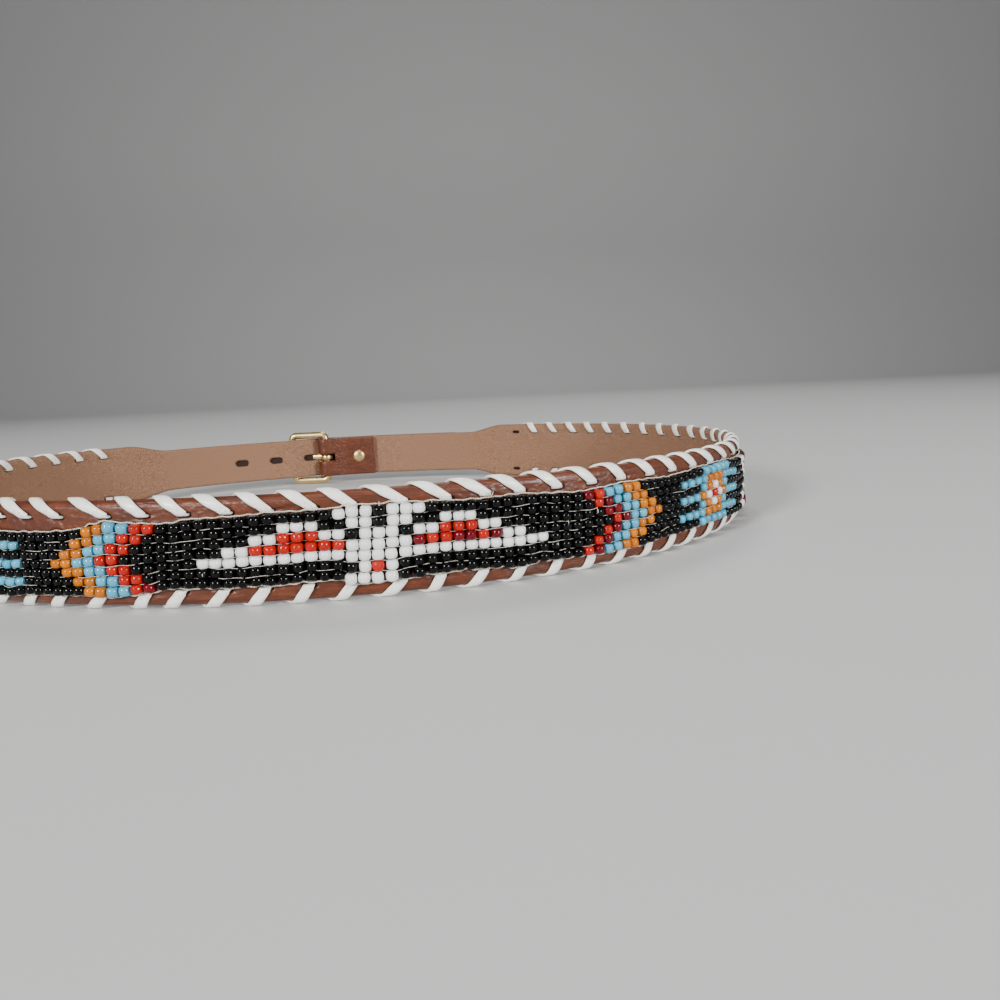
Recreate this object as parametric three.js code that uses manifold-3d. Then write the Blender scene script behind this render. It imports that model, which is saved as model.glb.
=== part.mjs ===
// A beaded leather belt, fastened into a loop and standing on its lower edge.
// Millimetres, +Z up. The middle of the beadwork faces -Y and the buckle is opposite to it, at the back.
import * as THREE from "three";
import { mergeVertices } from "three/addons/utils/BufferGeometryUtils.js";
import Module from "manifold-3d";

// Lengths along the belt. The beaded pattern's middle is 0, and the buckle's heel bar is half way round.
const BAND_LENGTH = 529.6;
const LACING_OVERRUN = 6;
const PLAIN_END = 87.7;
const TAPER_START = 4;
const TAPER_LENGTH = 16;

// The loop: its depth from front to back, and where the pattern's middle is worn, beside the front point
const LOOP_DEPTH = 190;
const PATTERN_OFFSET = 25.5;

// Leather. Its height is that of the beadwork and of the edges above and below it.
const EDGE_ABOVE_BEADS = 4.93;
const EDGE_BELOW_BEADS = 2.35;
const STRAP_THICKNESS = 3.2;
const END_THICKNESS = 2.0;
const CHAMFER_SHARE = 0.28;

// Lacing, a flat strip whipped round each edge through a row of slots
const LACE_PITCH = 9.236;
const LACE_THICKNESS = 0.7;
const LACE_WIDTH = 3.5;
const LACE_WIDTH_IN_SLOT = 2.4;
const LACE_FRONT_SHARE = 0.65;
const SLOT_ABOVE_BED = 0.8;
const SLOT_PHASE = 6.2;

// Beadwork: rows of seed beads whose holes run across the belt
const BEAD_ROWS = 7;
const BEAD_ROW_HEIGHT = 2.26;
const BEAD_DIAMETER = 2.8;
const BEAD_GROOVE = 0.65;
const BEADS_OVER_LACING = 1.3;
const BED_WALL = 0.6;

// Buckle: a frame with a heel bar and a front bar, and a prong. The strap's end is folded round the heel bar.
const BAR_DIAMETER = 3.0;
const BUCKLE_LENGTH = 15;
const BUCKLE_CORNER = 2.0;
const BUCKLE_INSET = 0.5;
const PRONG_WIDTH = 2.4;
const PRONG_THICKNESS = 1.6;
const PRONG_SEAT = 0.3;
const FRONT_BAR_DIP = 0.4;

// Strap ends
const FOLD_LENGTH = 22;
const RIVET_FROM_HEEL = 15;
const RIVET_DIAMETER = 3.0;
const RIVET_CAP_DIAMETER = 5.4;
const RIVET_CAP_THICKNESS = 0.5;
const TIP_STANDOFF = 20.5;
const TIP_ROUNDING = 8;
const HOLE_SPACING = 15;

// Clearances
const PIECE_GAP = 0.3;
const LACE_GAP = 0.25;
const SLOT_SIDE_GAP = 0.4;
const CUT_PAST = 0.5;

// Counts
const ROUND_SIDES = 10;
const BAR_SIDES = 8;
const FOLD_STEPS = 6;
const OVER_HEEL_STEPS = 2;
const PLAIN_STEPS = 2;
const HOLES_EACH_WAY = 2;
const BUCKLE_CORNER_STEPS = 2;

// The strap's tip: how far back from its point, as a share of its rounding, and its height as a share
// of the end's height
const TIP_OUTLINE = [
  { back: 0, height: 0.3 },
  { back: 0.15, height: 0.6 },
  { back: 0.5, height: 0.9 },
  { back: 1, height: 1 },
];

// The folded end: distance from the heel bar as a share of the fold's length, and how far each layer
// stands off the strap's middle, as a share of half the two layers' spacing
const FOLD_RUN = [
  { back: 1.55, spread: 0 },
  { back: 1.1, spread: 1 },
  { back: 0.45, spread: 1 },
];

// Sizes that follow from those above

const laceTurns = 2 * Math.round((BAND_LENGTH / 2 + LACING_OVERRUN) / LACE_PITCH);
const plainFacets = Math.round((2 * PLAIN_END) / LACE_PITCH);
const facetCount = laceTurns + plainFacets;
const loopLength = facetCount * LACE_PITCH;
const heelAlong = loopLength / 2;
const lacedHalf = (laceTurns * LACE_PITCH) / 2;
const firstEdge = SLOT_PHASE - LACE_PITCH / 2;

const strapBottom = LACE_THICKNESS + LACE_GAP;
const bandBottom = strapBottom + EDGE_BELOW_BEADS;
const bandTop = bandBottom + BEAD_ROWS * BEAD_ROW_HEIGHT;
const strapTop = bandTop + EDGE_ABOVE_BEADS;
const strapHeight = strapTop - strapBottom;
const strapMiddle = (strapTop + strapBottom) / 2;
const strapFace = STRAP_THICKNESS / 2;
const beltHeight = strapTop + strapBottom;
const endHeight = beltHeight - 2 * (BUCKLE_INSET + BAR_DIAMETER + PIECE_GAP);

const laceOffset = LACE_GAP + LACE_THICKNESS / 2;
const laceOut = strapFace + laceOffset;
const laceFace = laceOut + LACE_THICKNESS / 2;
const laceChamfer = STRAP_THICKNESS * CHAMFER_SHARE + laceOffset * (2 - Math.SQRT2);
const slotHeight = LACE_THICKNESS + 2 * LACE_GAP;
const slotLength = LACE_WIDTH_IN_SLOT + 2 * SLOT_SIDE_GAP;
const bedTop = bandTop + PIECE_GAP;
const upperSlot = bedTop + SLOT_ABOVE_BED + slotHeight / 2;
const lowerSlot = beltHeight - upperSlot;
const bedBottom = lowerSlot + slotHeight / 2 + BED_WALL;

const bandFront = laceFace + BEADS_OVER_LACING;
const bandBack = bandFront - BEAD_DIAMETER;
const bedFloor = bandBack - LACE_GAP;

const halfPly = END_THICKNESS / 2;
const plySpread = (END_THICKNESS + PIECE_GAP) / 2;
const barRadius = BAR_DIAMETER / 2;
const foldRadius = barRadius + PIECE_GAP + halfPly;
const overHeelRadius = foldRadius + END_THICKNESS + PIECE_GAP;
const overRivetOut = plySpread + END_THICKNESS + RIVET_CAP_THICKNESS + 2 * PIECE_GAP;
const tipOut = END_THICKNESS + 2 * PIECE_GAP;
const tipLength = PLAIN_END - TIP_STANDOFF;

// The strap leaves the arc over the heel bar on the tangent that meets its dip under the front bar
const dipDistance = Math.hypot(BUCKLE_LENGTH, FRONT_BAR_DIP);
const leaveAngle = Math.atan2(FRONT_BAR_DIP, BUCKLE_LENGTH) + Math.acos(overHeelRadius / dipDistance);
const strapSlope = Math.PI / 2 - leaveAngle;
const frontBarOut = FRONT_BAR_DIP + (halfPly + PIECE_GAP + barRadius) / Math.cos(strapSlope);
const frameTilt = Math.atan2(frontBarOut, BUCKLE_LENGTH);
const prongTopOut = frontBarOut + barRadius + PRONG_THICKNESS / 2 - PRONG_SEAT;
const prongSlope = Math.atan2(prongTopOut, BUCKLE_LENGTH);

// Where the prong's straight run crosses the strap's
const crossingAlong =
  (FRONT_BAR_DIP + BUCKLE_LENGTH * Math.tan(strapSlope)) / (Math.tan(prongSlope) + Math.tan(strapSlope));
const crossingAngle = prongSlope + strapSlope;
const holeLength =
  END_THICKNESS / Math.tan(crossingAngle) + PRONG_THICKNESS / Math.sin(crossingAngle) + 2 * PIECE_GAP;
const holeWidth = PRONG_WIDTH + 2 * PIECE_GAP;

// The loop as an ellipse. The strap's length and the loop's depth are given, so its width is searched for.
function loopCurve(width) {
  const quarterTurn = Math.PI / 2;
  const curve = new THREE.EllipseCurve(
    0, 0, width / 2, LOOP_DEPTH / 2, -quarterTurn, 3 * quarterTurn, false, 0,
  );
  curve.arcLengthDivisions = 2000;
  return curve;
}

function loopWidth() {
  const halvings = 40;
  let narrow = 0;
  let wide = loopLength / 2;
  for (let step = 0; step < halvings; step += 1) {
    const middle = (narrow + wide) / 2;
    if (loopCurve(middle).getLength() < loopLength) {
      narrow = middle;
    } else {
      wide = middle;
    }
  }
  return (narrow + wide) / 2;
}

// The belt is faceted, one flat facet for each turn of the lacing, with a slot in the middle of each.
// An edge is where two facets meet: a point of the loop and the direction that points out of it.
function facetEdges() {
  const curve = loopCurve(loopWidth());
  const edges = [];
  for (let edge = 0; edge < facetCount; edge += 1) {
    const along = firstEdge + edge * LACE_PITCH + PATTERN_OFFSET;
    const turns = (along / loopLength) % 1;
    const tangent = curve.getTangentAt(turns);
    edges.push({ point: curve.getPointAt(turns), outward: new THREE.Vector2(tangent.y, -tangent.x) });
  }
  return edges;
}

const edges = facetEdges();

// Belt coordinates are [along, up, out]: along the belt from the pattern's middle, up from the floor,
// and out from the middle of the leather. They are right-handed, and place turns them into X, Y, Z.
function place([along, up, out]) {
  const position = (along - firstEdge) / LACE_PITCH;
  const facet = Math.floor(position);
  const ends = [facet, facet + 1].map((number) => {
    const edge = edges[((number % facetCount) + facetCount) % facetCount];
    return edge.point.clone().addScaledVector(edge.outward, out);
  });
  const spot = ends[0].lerp(ends[1], position - facet);
  return new THREE.Vector3(spot.x, spot.y, up);
}

// A closed surface through rings of belt coordinates. A ring runs anticlockwise when it is seen from
// the rings after it. The section gives the ring's corners on a flat sheet, from which its end caps are cut.
function loft(rings, section, meetsItself = false) {
  const size = section.length;
  const index = [];
  const spans = meetsItself ? rings.length : rings.length - 1;
  for (let span = 0; span < spans; span += 1) {
    const from = span * size;
    const to = ((span + 1) % rings.length) * size;
    for (let corner = 0; corner < size; corner += 1) {
      const next = (corner + 1) % size;
      index.push(from + corner, from + next, to + next);
      index.push(from + corner, to + next, to + corner);
    }
  }
  if (!meetsItself) {
    const last = (rings.length - 1) * size;
    THREE.ShapeUtils.triangulateShape(section, []).forEach(([a, b, c]) => {
      index.push(c, b, a);
      index.push(last + a, last + b, last + c);
    });
  }
  const geometry = new THREE.BufferGeometry().setFromPoints(rings.flat().map(place));
  geometry.setIndex(index);
  return geometry;
}

const wasm = await Module();
wasm.setup();

function solidOf(geometry) {
  const merged = mergeVertices(geometry, 1e-4);
  return new wasm.Manifold(
    new wasm.Mesh({
      numProp: 3,
      vertProperties: merged.attributes.position.array,
      triVerts: new Uint32Array(merged.index.array),
    }),
  );
}

function geometryOf(solid) {
  const { vertProperties, triVerts } = solid.getMesh();
  const geometry = new THREE.BufferGeometry();
  geometry.setAttribute("position", new THREE.BufferAttribute(vertProperties, 3));
  geometry.setIndex(new THREE.BufferAttribute(triVerts, 1));
  geometry.computeVertexNormals();
  return geometry;
}

// Sections, with x up the belt and y out of it

function chamferedSection(height, thickness) {
  const chamfer = Math.min(height, thickness) * CHAMFER_SHARE;
  const x = height / 2;
  const y = thickness / 2;
  return [
    [-x, chamfer - y],
    [chamfer - x, -y],
    [x - chamfer, -y],
    [x, chamfer - y],
    [x, y - chamfer],
    [x - chamfer, y],
    [chamfer - x, y],
    [-x, y - chamfer],
  ].map(([up, out]) => new THREE.Vector2(up, out));
}

function rectangle(lowX, highX, lowY, highY) {
  return [
    new THREE.Vector2(lowX, lowY),
    new THREE.Vector2(highX, lowY),
    new THREE.Vector2(highX, highY),
    new THREE.Vector2(lowX, highY),
  ];
}

// A rounded slot's outline, or a circle where its length is its width
function oblong(length, width, sides = ROUND_SIDES) {
  const shift = (length - width) / 2;
  return Array.from({ length: sides }, (_, side) => {
    const angle = ((side + 0.5) * 2 * Math.PI) / sides;
    const x = shift * Math.sign(Math.cos(angle)) + (width / 2) * Math.cos(angle);
    return new THREE.Vector2(x, (width / 2) * Math.sin(angle));
  });
}

// A flat strip that follows rows of { along, out, thickness, height }, each section square to its run
function stripRings(rows, middleUp) {
  const headings = rows.slice(1).map((row, before) => {
    const run = new THREE.Vector2(row.along - rows[before].along, row.out - rows[before].out);
    return run.normalize();
  });
  return rows.map((row, number) => {
    const arriving = headings[Math.max(number - 1, 0)];
    const leaving = headings[Math.min(number, headings.length - 1)];
    const heading = arriving.clone().add(leaving).normalize();
    return chamferedSection(row.height, row.thickness).map((corner) => [
      row.along - corner.y * heading.y,
      middleUp + corner.x,
      row.out + corner.y * heading.x,
    ]);
  });
}

function strip(rows, middleUp) {
  return loft(stripRings(rows, middleUp), chamferedSection(rows[0].height, rows[0].thickness));
}

// A section carried along the facets from one place on the belt to another
function alongFacets(section, start, end) {
  const stations = [start];
  const first = Math.floor((start - firstEdge) / LACE_PITCH) + 1;
  const last = Math.ceil((end - firstEdge) / LACE_PITCH) - 1;
  for (let edge = first; edge <= last; edge += 1) {
    stations.push(firstEdge + edge * LACE_PITCH);
  }
  stations.push(end);
  return loft(
    stations.map((along) => section.map((corner) => [along, corner.x, corner.y])),
    section,
  );
}

// A plug that stands out of the belt through outlines at several levels, tilted with the strip it is in
function plug({ along, up, out, tilt }, levels) {
  const rings = levels.map(({ level, outline }) =>
    outline.map((corner) => [
      along + corner.x * Math.cos(tilt) - level * Math.sin(tilt),
      up + corner.y,
      out + corner.x * Math.sin(tilt) + level * Math.cos(tilt),
    ]),
  );
  return loft(rings, levels[0].outline);
}

function cutter(spot, outline, reach) {
  return solidOf(plug(spot, [{ level: -reach, outline }, { level: reach, outline }]));
}

// Leather strap

const endSize = { thickness: END_THICKNESS, height: endHeight };
const fullSize = { thickness: STRAP_THICKNESS, height: strapHeight };

// Points round the heel bar from one angle to another, measured from the way the free end points
function roundHeel(radius, fromAngle, toAngle, steps, heel) {
  return Array.from({ length: steps + 1 }, (_, step) => {
    const angle = THREE.MathUtils.lerp(fromAngle, toAngle, step / steps);
    return { along: heel + radius * Math.cos(angle), out: radius * Math.sin(angle), ...endSize };
  });
}

// The free end: from its rounded tip, over the rivet and the heel bar, and down under the front bar
function freeEndRows(heel) {
  const tip = TIP_OUTLINE.map(({ back, height }) => ({
    along: heel - tipLength + back * TIP_ROUNDING,
    out: tipOut,
    thickness: END_THICKNESS,
    height: height * endHeight,
  }));
  const overFold = FOLD_RUN.map(({ back, spread }) => ({
    along: heel - back * FOLD_LENGTH,
    out: THREE.MathUtils.lerp(tipOut, overRivetOut, spread),
    ...endSize,
  }));
  const overHeel = roundHeel(overHeelRadius, Math.PI / 2, leaveAngle, OVER_HEEL_STEPS, heel);
  const underBar = [
    { along: heel + BUCKLE_LENGTH, out: FRONT_BAR_DIP, ...endSize },
    { along: heel + BUCKLE_LENGTH + FOLD_LENGTH / 2, out: 0, ...endSize },
  ];
  return [...tip, ...overFold, ...overHeel, ...underBar];
}

// The plain stretch between a narrow end and the laced part
function plainRows(side) {
  const taperStart = lacedHalf + TAPER_START;
  const taperEnd = taperStart + TAPER_LENGTH;
  const narrowEnd = heelAlong - FOLD_RUN[0].back * FOLD_LENGTH;
  const rows = [{ along: side * taperStart, out: 0, ...fullSize }];
  for (let step = 0; step < PLAIN_STEPS; step += 1) {
    const along = THREE.MathUtils.lerp(taperEnd, narrowEnd, step / PLAIN_STEPS);
    rows.push({ along: side * along, out: 0, ...endSize });
  }
  return side > 0 ? rows : rows.reverse();
}

// The folded end: out over the heel bar, round it, and back on the inner side
function foldedEndRows() {
  const outer = FOLD_RUN.map(({ back, spread }) => ({
    along: heelAlong - back * FOLD_LENGTH,
    out: spread * plySpread,
    ...endSize,
  }));
  const round = roundHeel(foldRadius, Math.PI / 2, -Math.PI / 2, FOLD_STEPS, heelAlong);
  const nearest = FOLD_RUN.at(-1);
  const inner = [nearest.back, 1].map((back) => ({
    along: heelAlong - back * FOLD_LENGTH,
    out: -plySpread,
    ...endSize,
  }));
  return [...outer, ...round, ...inner];
}

function lacedRows() {
  const half = laceTurns / 2;
  return Array.from({ length: laceTurns + 1 }, (_, edge) => ({
    along: firstEdge + (edge - half) * LACE_PITCH,
    out: 0,
    ...fullSize,
  }));
}

function slotPlaces() {
  const half = laceTurns / 2;
  return Array.from({ length: laceTurns }, (_, slot) => SLOT_PHASE + (slot - half) * LACE_PITCH);
}

function laceSlotCutters() {
  const outline = rectangle(-slotLength / 2, slotLength / 2, -slotHeight / 2, slotHeight / 2);
  return slotPlaces().flatMap((along) =>
    [upperSlot, lowerSlot].map((up) =>
      cutter({ along, up, out: 0, tilt: 0 }, outline, strapFace + CUT_PAST),
    ),
  );
}

// The prong's hole and its spare holes. One is in use at the crossing, and the others follow the strap's run.
function prongHoleCutters() {
  const heel = -heelAlong;
  const outline = oblong(holeLength, holeWidth);
  const reach = halfPly + PIECE_GAP / 2;
  const rows = freeEndRows(heel);
  const cutters = [];
  for (let number = -HOLES_EACH_WAY; number <= HOLES_EACH_WAY; number += 1) {
    const along = heel + crossingAlong + number * HOLE_SPACING;
    const after = rows.findIndex((row) => row.along > along);
    const [from, to] = after < 0 ? [rows.at(-2), { along, out: 0 }] : [rows[after - 1], rows[after]];
    const share = (along - from.along) / (to.along - from.along);
    const spot = {
      along,
      up: strapMiddle,
      out: THREE.MathUtils.lerp(from.out, to.out, share),
      tilt: Math.atan2(to.out - from.out, to.along - from.along),
    };
    cutters.push(cutter(spot, outline, reach));
  }
  return cutters;
}

// The fold is open across the prong, so the leather round the heel bar is cut away there
function prongNotchCutter() {
  const diameter = 2 * (foldRadius + halfPly) + PIECE_GAP;
  const outline = oblong(diameter, diameter);
  const ringAt = (up) => outline.map(({ x, y }) => [heelAlong + y, up, x]);
  const half = holeWidth / 2;
  return solidOf(loft([ringAt(strapMiddle - half), ringAt(strapMiddle + half)], outline));
}

function leatherStrap() {
  const rows = [
    ...freeEndRows(-heelAlong),
    ...plainRows(-1),
    ...lacedRows(),
    ...plainRows(1),
    ...foldedEndRows(),
  ];
  const bedEnd = BAND_LENGTH / 2 + PIECE_GAP;
  const bed = rectangle(bedBottom, bedTop, bedFloor, strapFace + CUT_PAST);
  const rivetHole = cutter(
    { along: heelAlong - RIVET_FROM_HEEL, up: strapMiddle, out: 0, tilt: 0 },
    oblong(RIVET_DIAMETER + 2 * PIECE_GAP, RIVET_DIAMETER + 2 * PIECE_GAP),
    plySpread + halfPly + PIECE_GAP / 2,
  );
  const cutters = [
    solidOf(alongFacets(bed, -bedEnd, bedEnd)),
    ...laceSlotCutters(),
    ...prongHoleCutters(),
    prongNotchCutter(),
    rivetHole,
  ];
  return cutters.reduce((solid, tool) => solid.subtract(tool), solidOf(strip(rows, strapMiddle)));
}

// Beadwork band: one woven piece with a ridge for each row of beads. Its lower part is thinner at the
// back, where it lies over the lacing.
function beadworkBand() {
  const overLacing = laceFace + PIECE_GAP;
  const stepUp = bedBottom + PIECE_GAP;
  const section = [
    new THREE.Vector2(bandBottom, overLacing),
    new THREE.Vector2(stepUp, overLacing),
    new THREE.Vector2(stepUp, bandBack),
    new THREE.Vector2(bandTop, bandBack),
  ];
  for (let row = BEAD_ROWS; row >= 0; row -= 1) {
    const joint = bandBottom + row * BEAD_ROW_HEIGHT;
    section.push(new THREE.Vector2(joint, bandFront - BEAD_GROOVE));
    if (row > 0) {
      section.push(new THREE.Vector2(joint - BEAD_ROW_HEIGHT / 2, bandFront));
    }
  }
  return alongFacets(section, -BAND_LENGTH / 2, BAND_LENGTH / 2);
}

// Lacing: the corners of one turn round the upper edge, from the front of a slot, over the edge and
// down to the back of the next slot
const laceTurn = [
  { out: laceOut, up: upperSlot, width: LACE_WIDTH_IN_SLOT },
  { out: laceOut, up: strapTop + laceOffset - laceChamfer, width: LACE_WIDTH },
  { out: laceOut - laceChamfer, up: strapTop + laceOffset, width: LACE_WIDTH },
  { out: -laceOut, up: strapTop + laceOffset, width: LACE_WIDTH },
  { out: -laceOut, up: upperSlot, width: LACE_WIDTH_IN_SLOT },
];

// How far a turn has moved along the belt at each of its corners. It slants evenly from the slot to the
// crest over the leather's middle, and evenly again from the crest down the back.
function turnShifts() {
  const crestUp = strapTop + laceOffset;
  const frontShift = LACE_PITCH * LACE_FRONT_SHARE;
  const backRun = laceOut + crestUp - upperSlot;
  const upright = crestUp - laceChamfer - upperSlot;
  const frontRun = upright + laceChamfer * Math.SQRT2 + laceOut - laceChamfer;
  return laceTurn.map(({ out, up }) => {
    if (out === laceOut) return (frontShift * (up - upperSlot)) / frontRun;
    if (out > 0) return frontShift * (1 - out / frontRun);
    const past = crestUp - up - out;
    return frontShift + ((LACE_PITCH - frontShift) * past) / backRun;
  });
}

// The whole lacing of one edge. It starts flush with the leather's back in the last slot, and ends flush
// with its front in the first. For the lower edge it is turned upside down.
function lacing(upsideDown) {
  const turned = (up) => (upsideDown ? beltHeight - up : up);
  const shifts = turnShifts();
  const slots = slotPlaces().reverse();
  const corners = slots.slice(0, -1).flatMap((slot) =>
    laceTurn.map(({ out, up, width }, corner) => ({
      along: slot - shifts[corner],
      up: turned(up),
      out,
      width,
    })),
  );
  const tucked = { up: turned(upperSlot), width: LACE_WIDTH_IN_SLOT };
  const path = [
    { along: slots[0], out: -strapFace, ...tucked },
    ...corners,
    { along: slots.at(-1), out: strapFace, ...tucked },
  ];
  const headings = path.slice(1).map((corner, before) => {
    const run = new THREE.Vector2(corner.up - path[before].up, corner.out - path[before].out);
    return run.normalize();
  });
  const rings = path.map((corner, number) => {
    const arriving = headings[Math.max(number - 1, 0)];
    const leaving = headings[Math.min(number, headings.length - 1)];
    const mitre = arriving.clone().add(leaving).normalize();
    const half = LACE_THICKNESS / 2 / mitre.dot(leaving);
    return rectangle(-corner.width / 2, corner.width / 2, -half, half).map(({ x, y }) => [
      corner.along + x,
      corner.up + y * mitre.y,
      corner.out - y * mitre.x,
    ]);
  });
  return loft(rings, rectangle(0, 1, 0, 1));
}

// Buckle: a round bar bent into a frame with rounded corners, tilted so that its front bar lies over the
// strap, and a prong from the heel bar to the front bar's face

function frameRings(barSection) {
  const frameLength = Math.hypot(BUCKLE_LENGTH, frontBarOut);
  const halfHeight = endHeight / 2 + PIECE_GAP + barRadius;
  const corners = [
    { run: frameLength, up: -halfHeight, startAngle: -Math.PI / 2 },
    { run: frameLength, up: halfHeight, startAngle: 0 },
    { run: 0, up: halfHeight, startAngle: Math.PI / 2 },
    { run: 0, up: -halfHeight, startAngle: Math.PI },
  ];
  return corners.flatMap(({ run, up, startAngle }) => {
    const centreRun = run + BUCKLE_CORNER * (run > 0 ? -1 : 1);
    const centreUp = up - BUCKLE_CORNER * Math.sign(up);
    return Array.from({ length: BUCKLE_CORNER_STEPS + 1 }, (_, step) => {
      const turn = startAngle + ((Math.PI / 2) * step) / BUCKLE_CORNER_STEPS;
      return barSection.map(({ x, y }) => {
        const sideways = BUCKLE_CORNER + x;
        const inPlane = centreRun + sideways * Math.cos(turn);
        const offPlane = -y;
        return [
          heelAlong + inPlane * Math.cos(frameTilt) - offPlane * Math.sin(frameTilt),
          strapMiddle + centreUp + sideways * Math.sin(turn),
          inPlane * Math.sin(frameTilt) + offPlane * Math.cos(frameTilt),
        ];
      });
    });
  });
}

function buckle() {
  const barSection = oblong(BAR_DIAMETER, BAR_DIAMETER, BAR_SIDES);
  const frame = solidOf(loft(frameRings(barSection), barSection, true));
  const prongSize = { thickness: PRONG_THICKNESS, height: PRONG_WIDTH };
  const prong = strip(
    [
      { along: heelAlong, out: 0, ...prongSize },
      { along: heelAlong + BUCKLE_LENGTH, out: prongTopOut, ...prongSize },
      { along: heelAlong + BUCKLE_LENGTH + barRadius, out: prongTopOut - PRONG_SEAT, ...prongSize },
    ],
    strapMiddle,
  );
  return frame.add(solidOf(prong));
}

// Rivet: a post through both layers of the fold, with a low cap at each end
function foldRivet() {
  const seat = plySpread + halfPly + LACE_GAP;
  const post = oblong(RIVET_DIAMETER, RIVET_DIAMETER);
  const cap = oblong(RIVET_CAP_DIAMETER, RIVET_CAP_DIAMETER);
  const spot = { along: heelAlong - RIVET_FROM_HEEL, up: strapMiddle, out: 0, tilt: 0 };
  return plug(spot, [
    { level: -seat - RIVET_CAP_THICKNESS, outline: cap },
    { level: -seat, outline: cap },
    { level: -seat, outline: post },
    { level: seat, outline: post },
    { level: seat, outline: cap },
    { level: seat + RIVET_CAP_THICKNESS, outline: cap },
  ]);
}

const leather = new THREE.MeshStandardMaterial({ color: 0x8f4526, roughness: 0.42 });
const beads = new THREE.MeshStandardMaterial({ color: 0x14130f, roughness: 0.18 });
const upperLace = new THREE.MeshStandardMaterial({ color: 0xe6e2d6, roughness: 0.35 });
const lowerLace = new THREE.MeshStandardMaterial({ color: 0xdedacd, roughness: 0.35 });
const brass = new THREE.MeshStandardMaterial({ color: 0xb5954f, roughness: 0.3, metalness: 1 });
const rivetBrass = new THREE.MeshStandardMaterial({ color: 0xad8c49, roughness: 0.35, metalness: 1 });

const pieces = [
  { name: "leather_strap", geometry: geometryOf(leatherStrap()), material: leather },
  { name: "beadwork_band", geometry: beadworkBand(), material: beads },
  { name: "lace_top", geometry: lacing(false), material: upperLace },
  { name: "lace_bottom", geometry: lacing(true), material: lowerLace },
  { name: "buckle", geometry: geometryOf(buckle()), material: brass },
  { name: "fold_rivet", geometry: foldRivet(), material: rivetBrass },
];

const belt = new THREE.Group();
pieces.forEach(({ name, geometry, material }) => {
  const mesh = new THREE.Mesh(geometry, material);
  mesh.name = name;
  belt.add(mesh);
});

// The beadwork at the front and the buckle at the back reach equally far from the origin
const reach = new THREE.Box3().setFromObject(belt);
belt.position.y = -(reach.min.y + reach.max.y) / 2;

export default belt;
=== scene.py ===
"""The beaded belt's looks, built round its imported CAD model.

Every length is in millimetres until a mesh is written, which is in metres. Belt coordinates are (along, up,
out): along the belt from the middle of the beaded pattern, up from the floor, and out from the middle of the
leather. Loop.place turns them into X, Y and Z.
"""

import logging
import math
from dataclasses import dataclass, field
from enum import Enum

import bpy
import numpy as np
from mathutils import Matrix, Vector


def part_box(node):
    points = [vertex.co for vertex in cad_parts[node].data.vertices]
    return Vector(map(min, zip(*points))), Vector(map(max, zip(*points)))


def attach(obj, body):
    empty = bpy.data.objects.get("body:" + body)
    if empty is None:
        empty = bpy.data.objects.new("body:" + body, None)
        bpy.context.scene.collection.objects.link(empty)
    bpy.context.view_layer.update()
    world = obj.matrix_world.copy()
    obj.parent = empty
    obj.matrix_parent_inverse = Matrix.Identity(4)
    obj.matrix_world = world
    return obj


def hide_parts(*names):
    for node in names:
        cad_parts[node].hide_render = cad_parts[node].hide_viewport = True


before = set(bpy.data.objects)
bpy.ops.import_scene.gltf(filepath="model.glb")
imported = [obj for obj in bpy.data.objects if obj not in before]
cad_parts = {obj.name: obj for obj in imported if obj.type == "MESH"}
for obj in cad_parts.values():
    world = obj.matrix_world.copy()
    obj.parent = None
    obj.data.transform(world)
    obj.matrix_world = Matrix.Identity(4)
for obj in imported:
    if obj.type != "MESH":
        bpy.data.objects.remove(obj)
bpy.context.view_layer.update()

MM = 0.001
Colour = tuple[float, float, float]
Triple = tuple[float, float, float]
Pair = tuple[float, float]
log = logging.getLogger("beaded_belt")


# Number helpers


def smooth_step(low: float, high: float, x: np.ndarray) -> np.ndarray:
    """Eases from 0 at low to 1 at high.

    Args:
        low: where the result leaves 0.
        high: where the result reaches 1; it may be less than low, which turns the step round.
        x: the values to ease.

    Returns:
        t * t * (3 - 2 t), with t the clipped share of the way from low to high.
    """
    t = np.clip((x - low) / (high - low), 0, 1)
    return t * t * (3 - 2 * t)


def waves(x: np.ndarray, lengths: tuple[float, ...], seed: int) -> np.ndarray:
    """A smooth wandering line between about -1 and 1.

    Args:
        x: positions in millimetres.
        lengths: the wavelengths that are added up.
        seed: picks the phases.

    Returns:
        The sum of one sine wave for each wavelength, each with its own phase, over the square root of how
        many there are.
    """
    phases = np.random.default_rng(seed).uniform(0, 2 * np.pi, len(lengths))
    total = sum(np.sin(2 * np.pi * x / length + phase) for length, phase in zip(lengths, phases, strict=True))
    return total / math.sqrt(len(lengths))


def along_table(x: np.ndarray, places: tuple[float, ...], values: tuple[float, ...]) -> np.ndarray:
    """Reads a table of measured values with an eased step from each one to the next.

    Args:
        x: positions to read at.
        places: where the values were measured, in ascending order.
        values: the value at each place.

    Returns:
        The eased values, constant past both ends.
    """
    position = np.interp(x, places, np.arange(len(places)))
    before = np.clip(np.floor(position).astype(int), 0, len(places) - 2)
    share = smooth_step(0, 1, position - before)
    heights = np.array(values)
    return heights[before] * (1 - share) + heights[before + 1] * share


def unit(vectors: np.ndarray) -> np.ndarray:
    """Each vector of the last axis made one long."""
    return vectors / np.linalg.norm(vectors, axis=-1, keepdims=True)


def circle(sides: int, radius: float = 1.0, start: float = 0.0) -> np.ndarray:
    """Even points on a circle, the first one start steps round it."""
    turn = 2 * np.pi * (np.arange(sides) + start) / sides
    return radius * np.stack([np.cos(turn), np.sin(turn)], axis=1)


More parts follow.
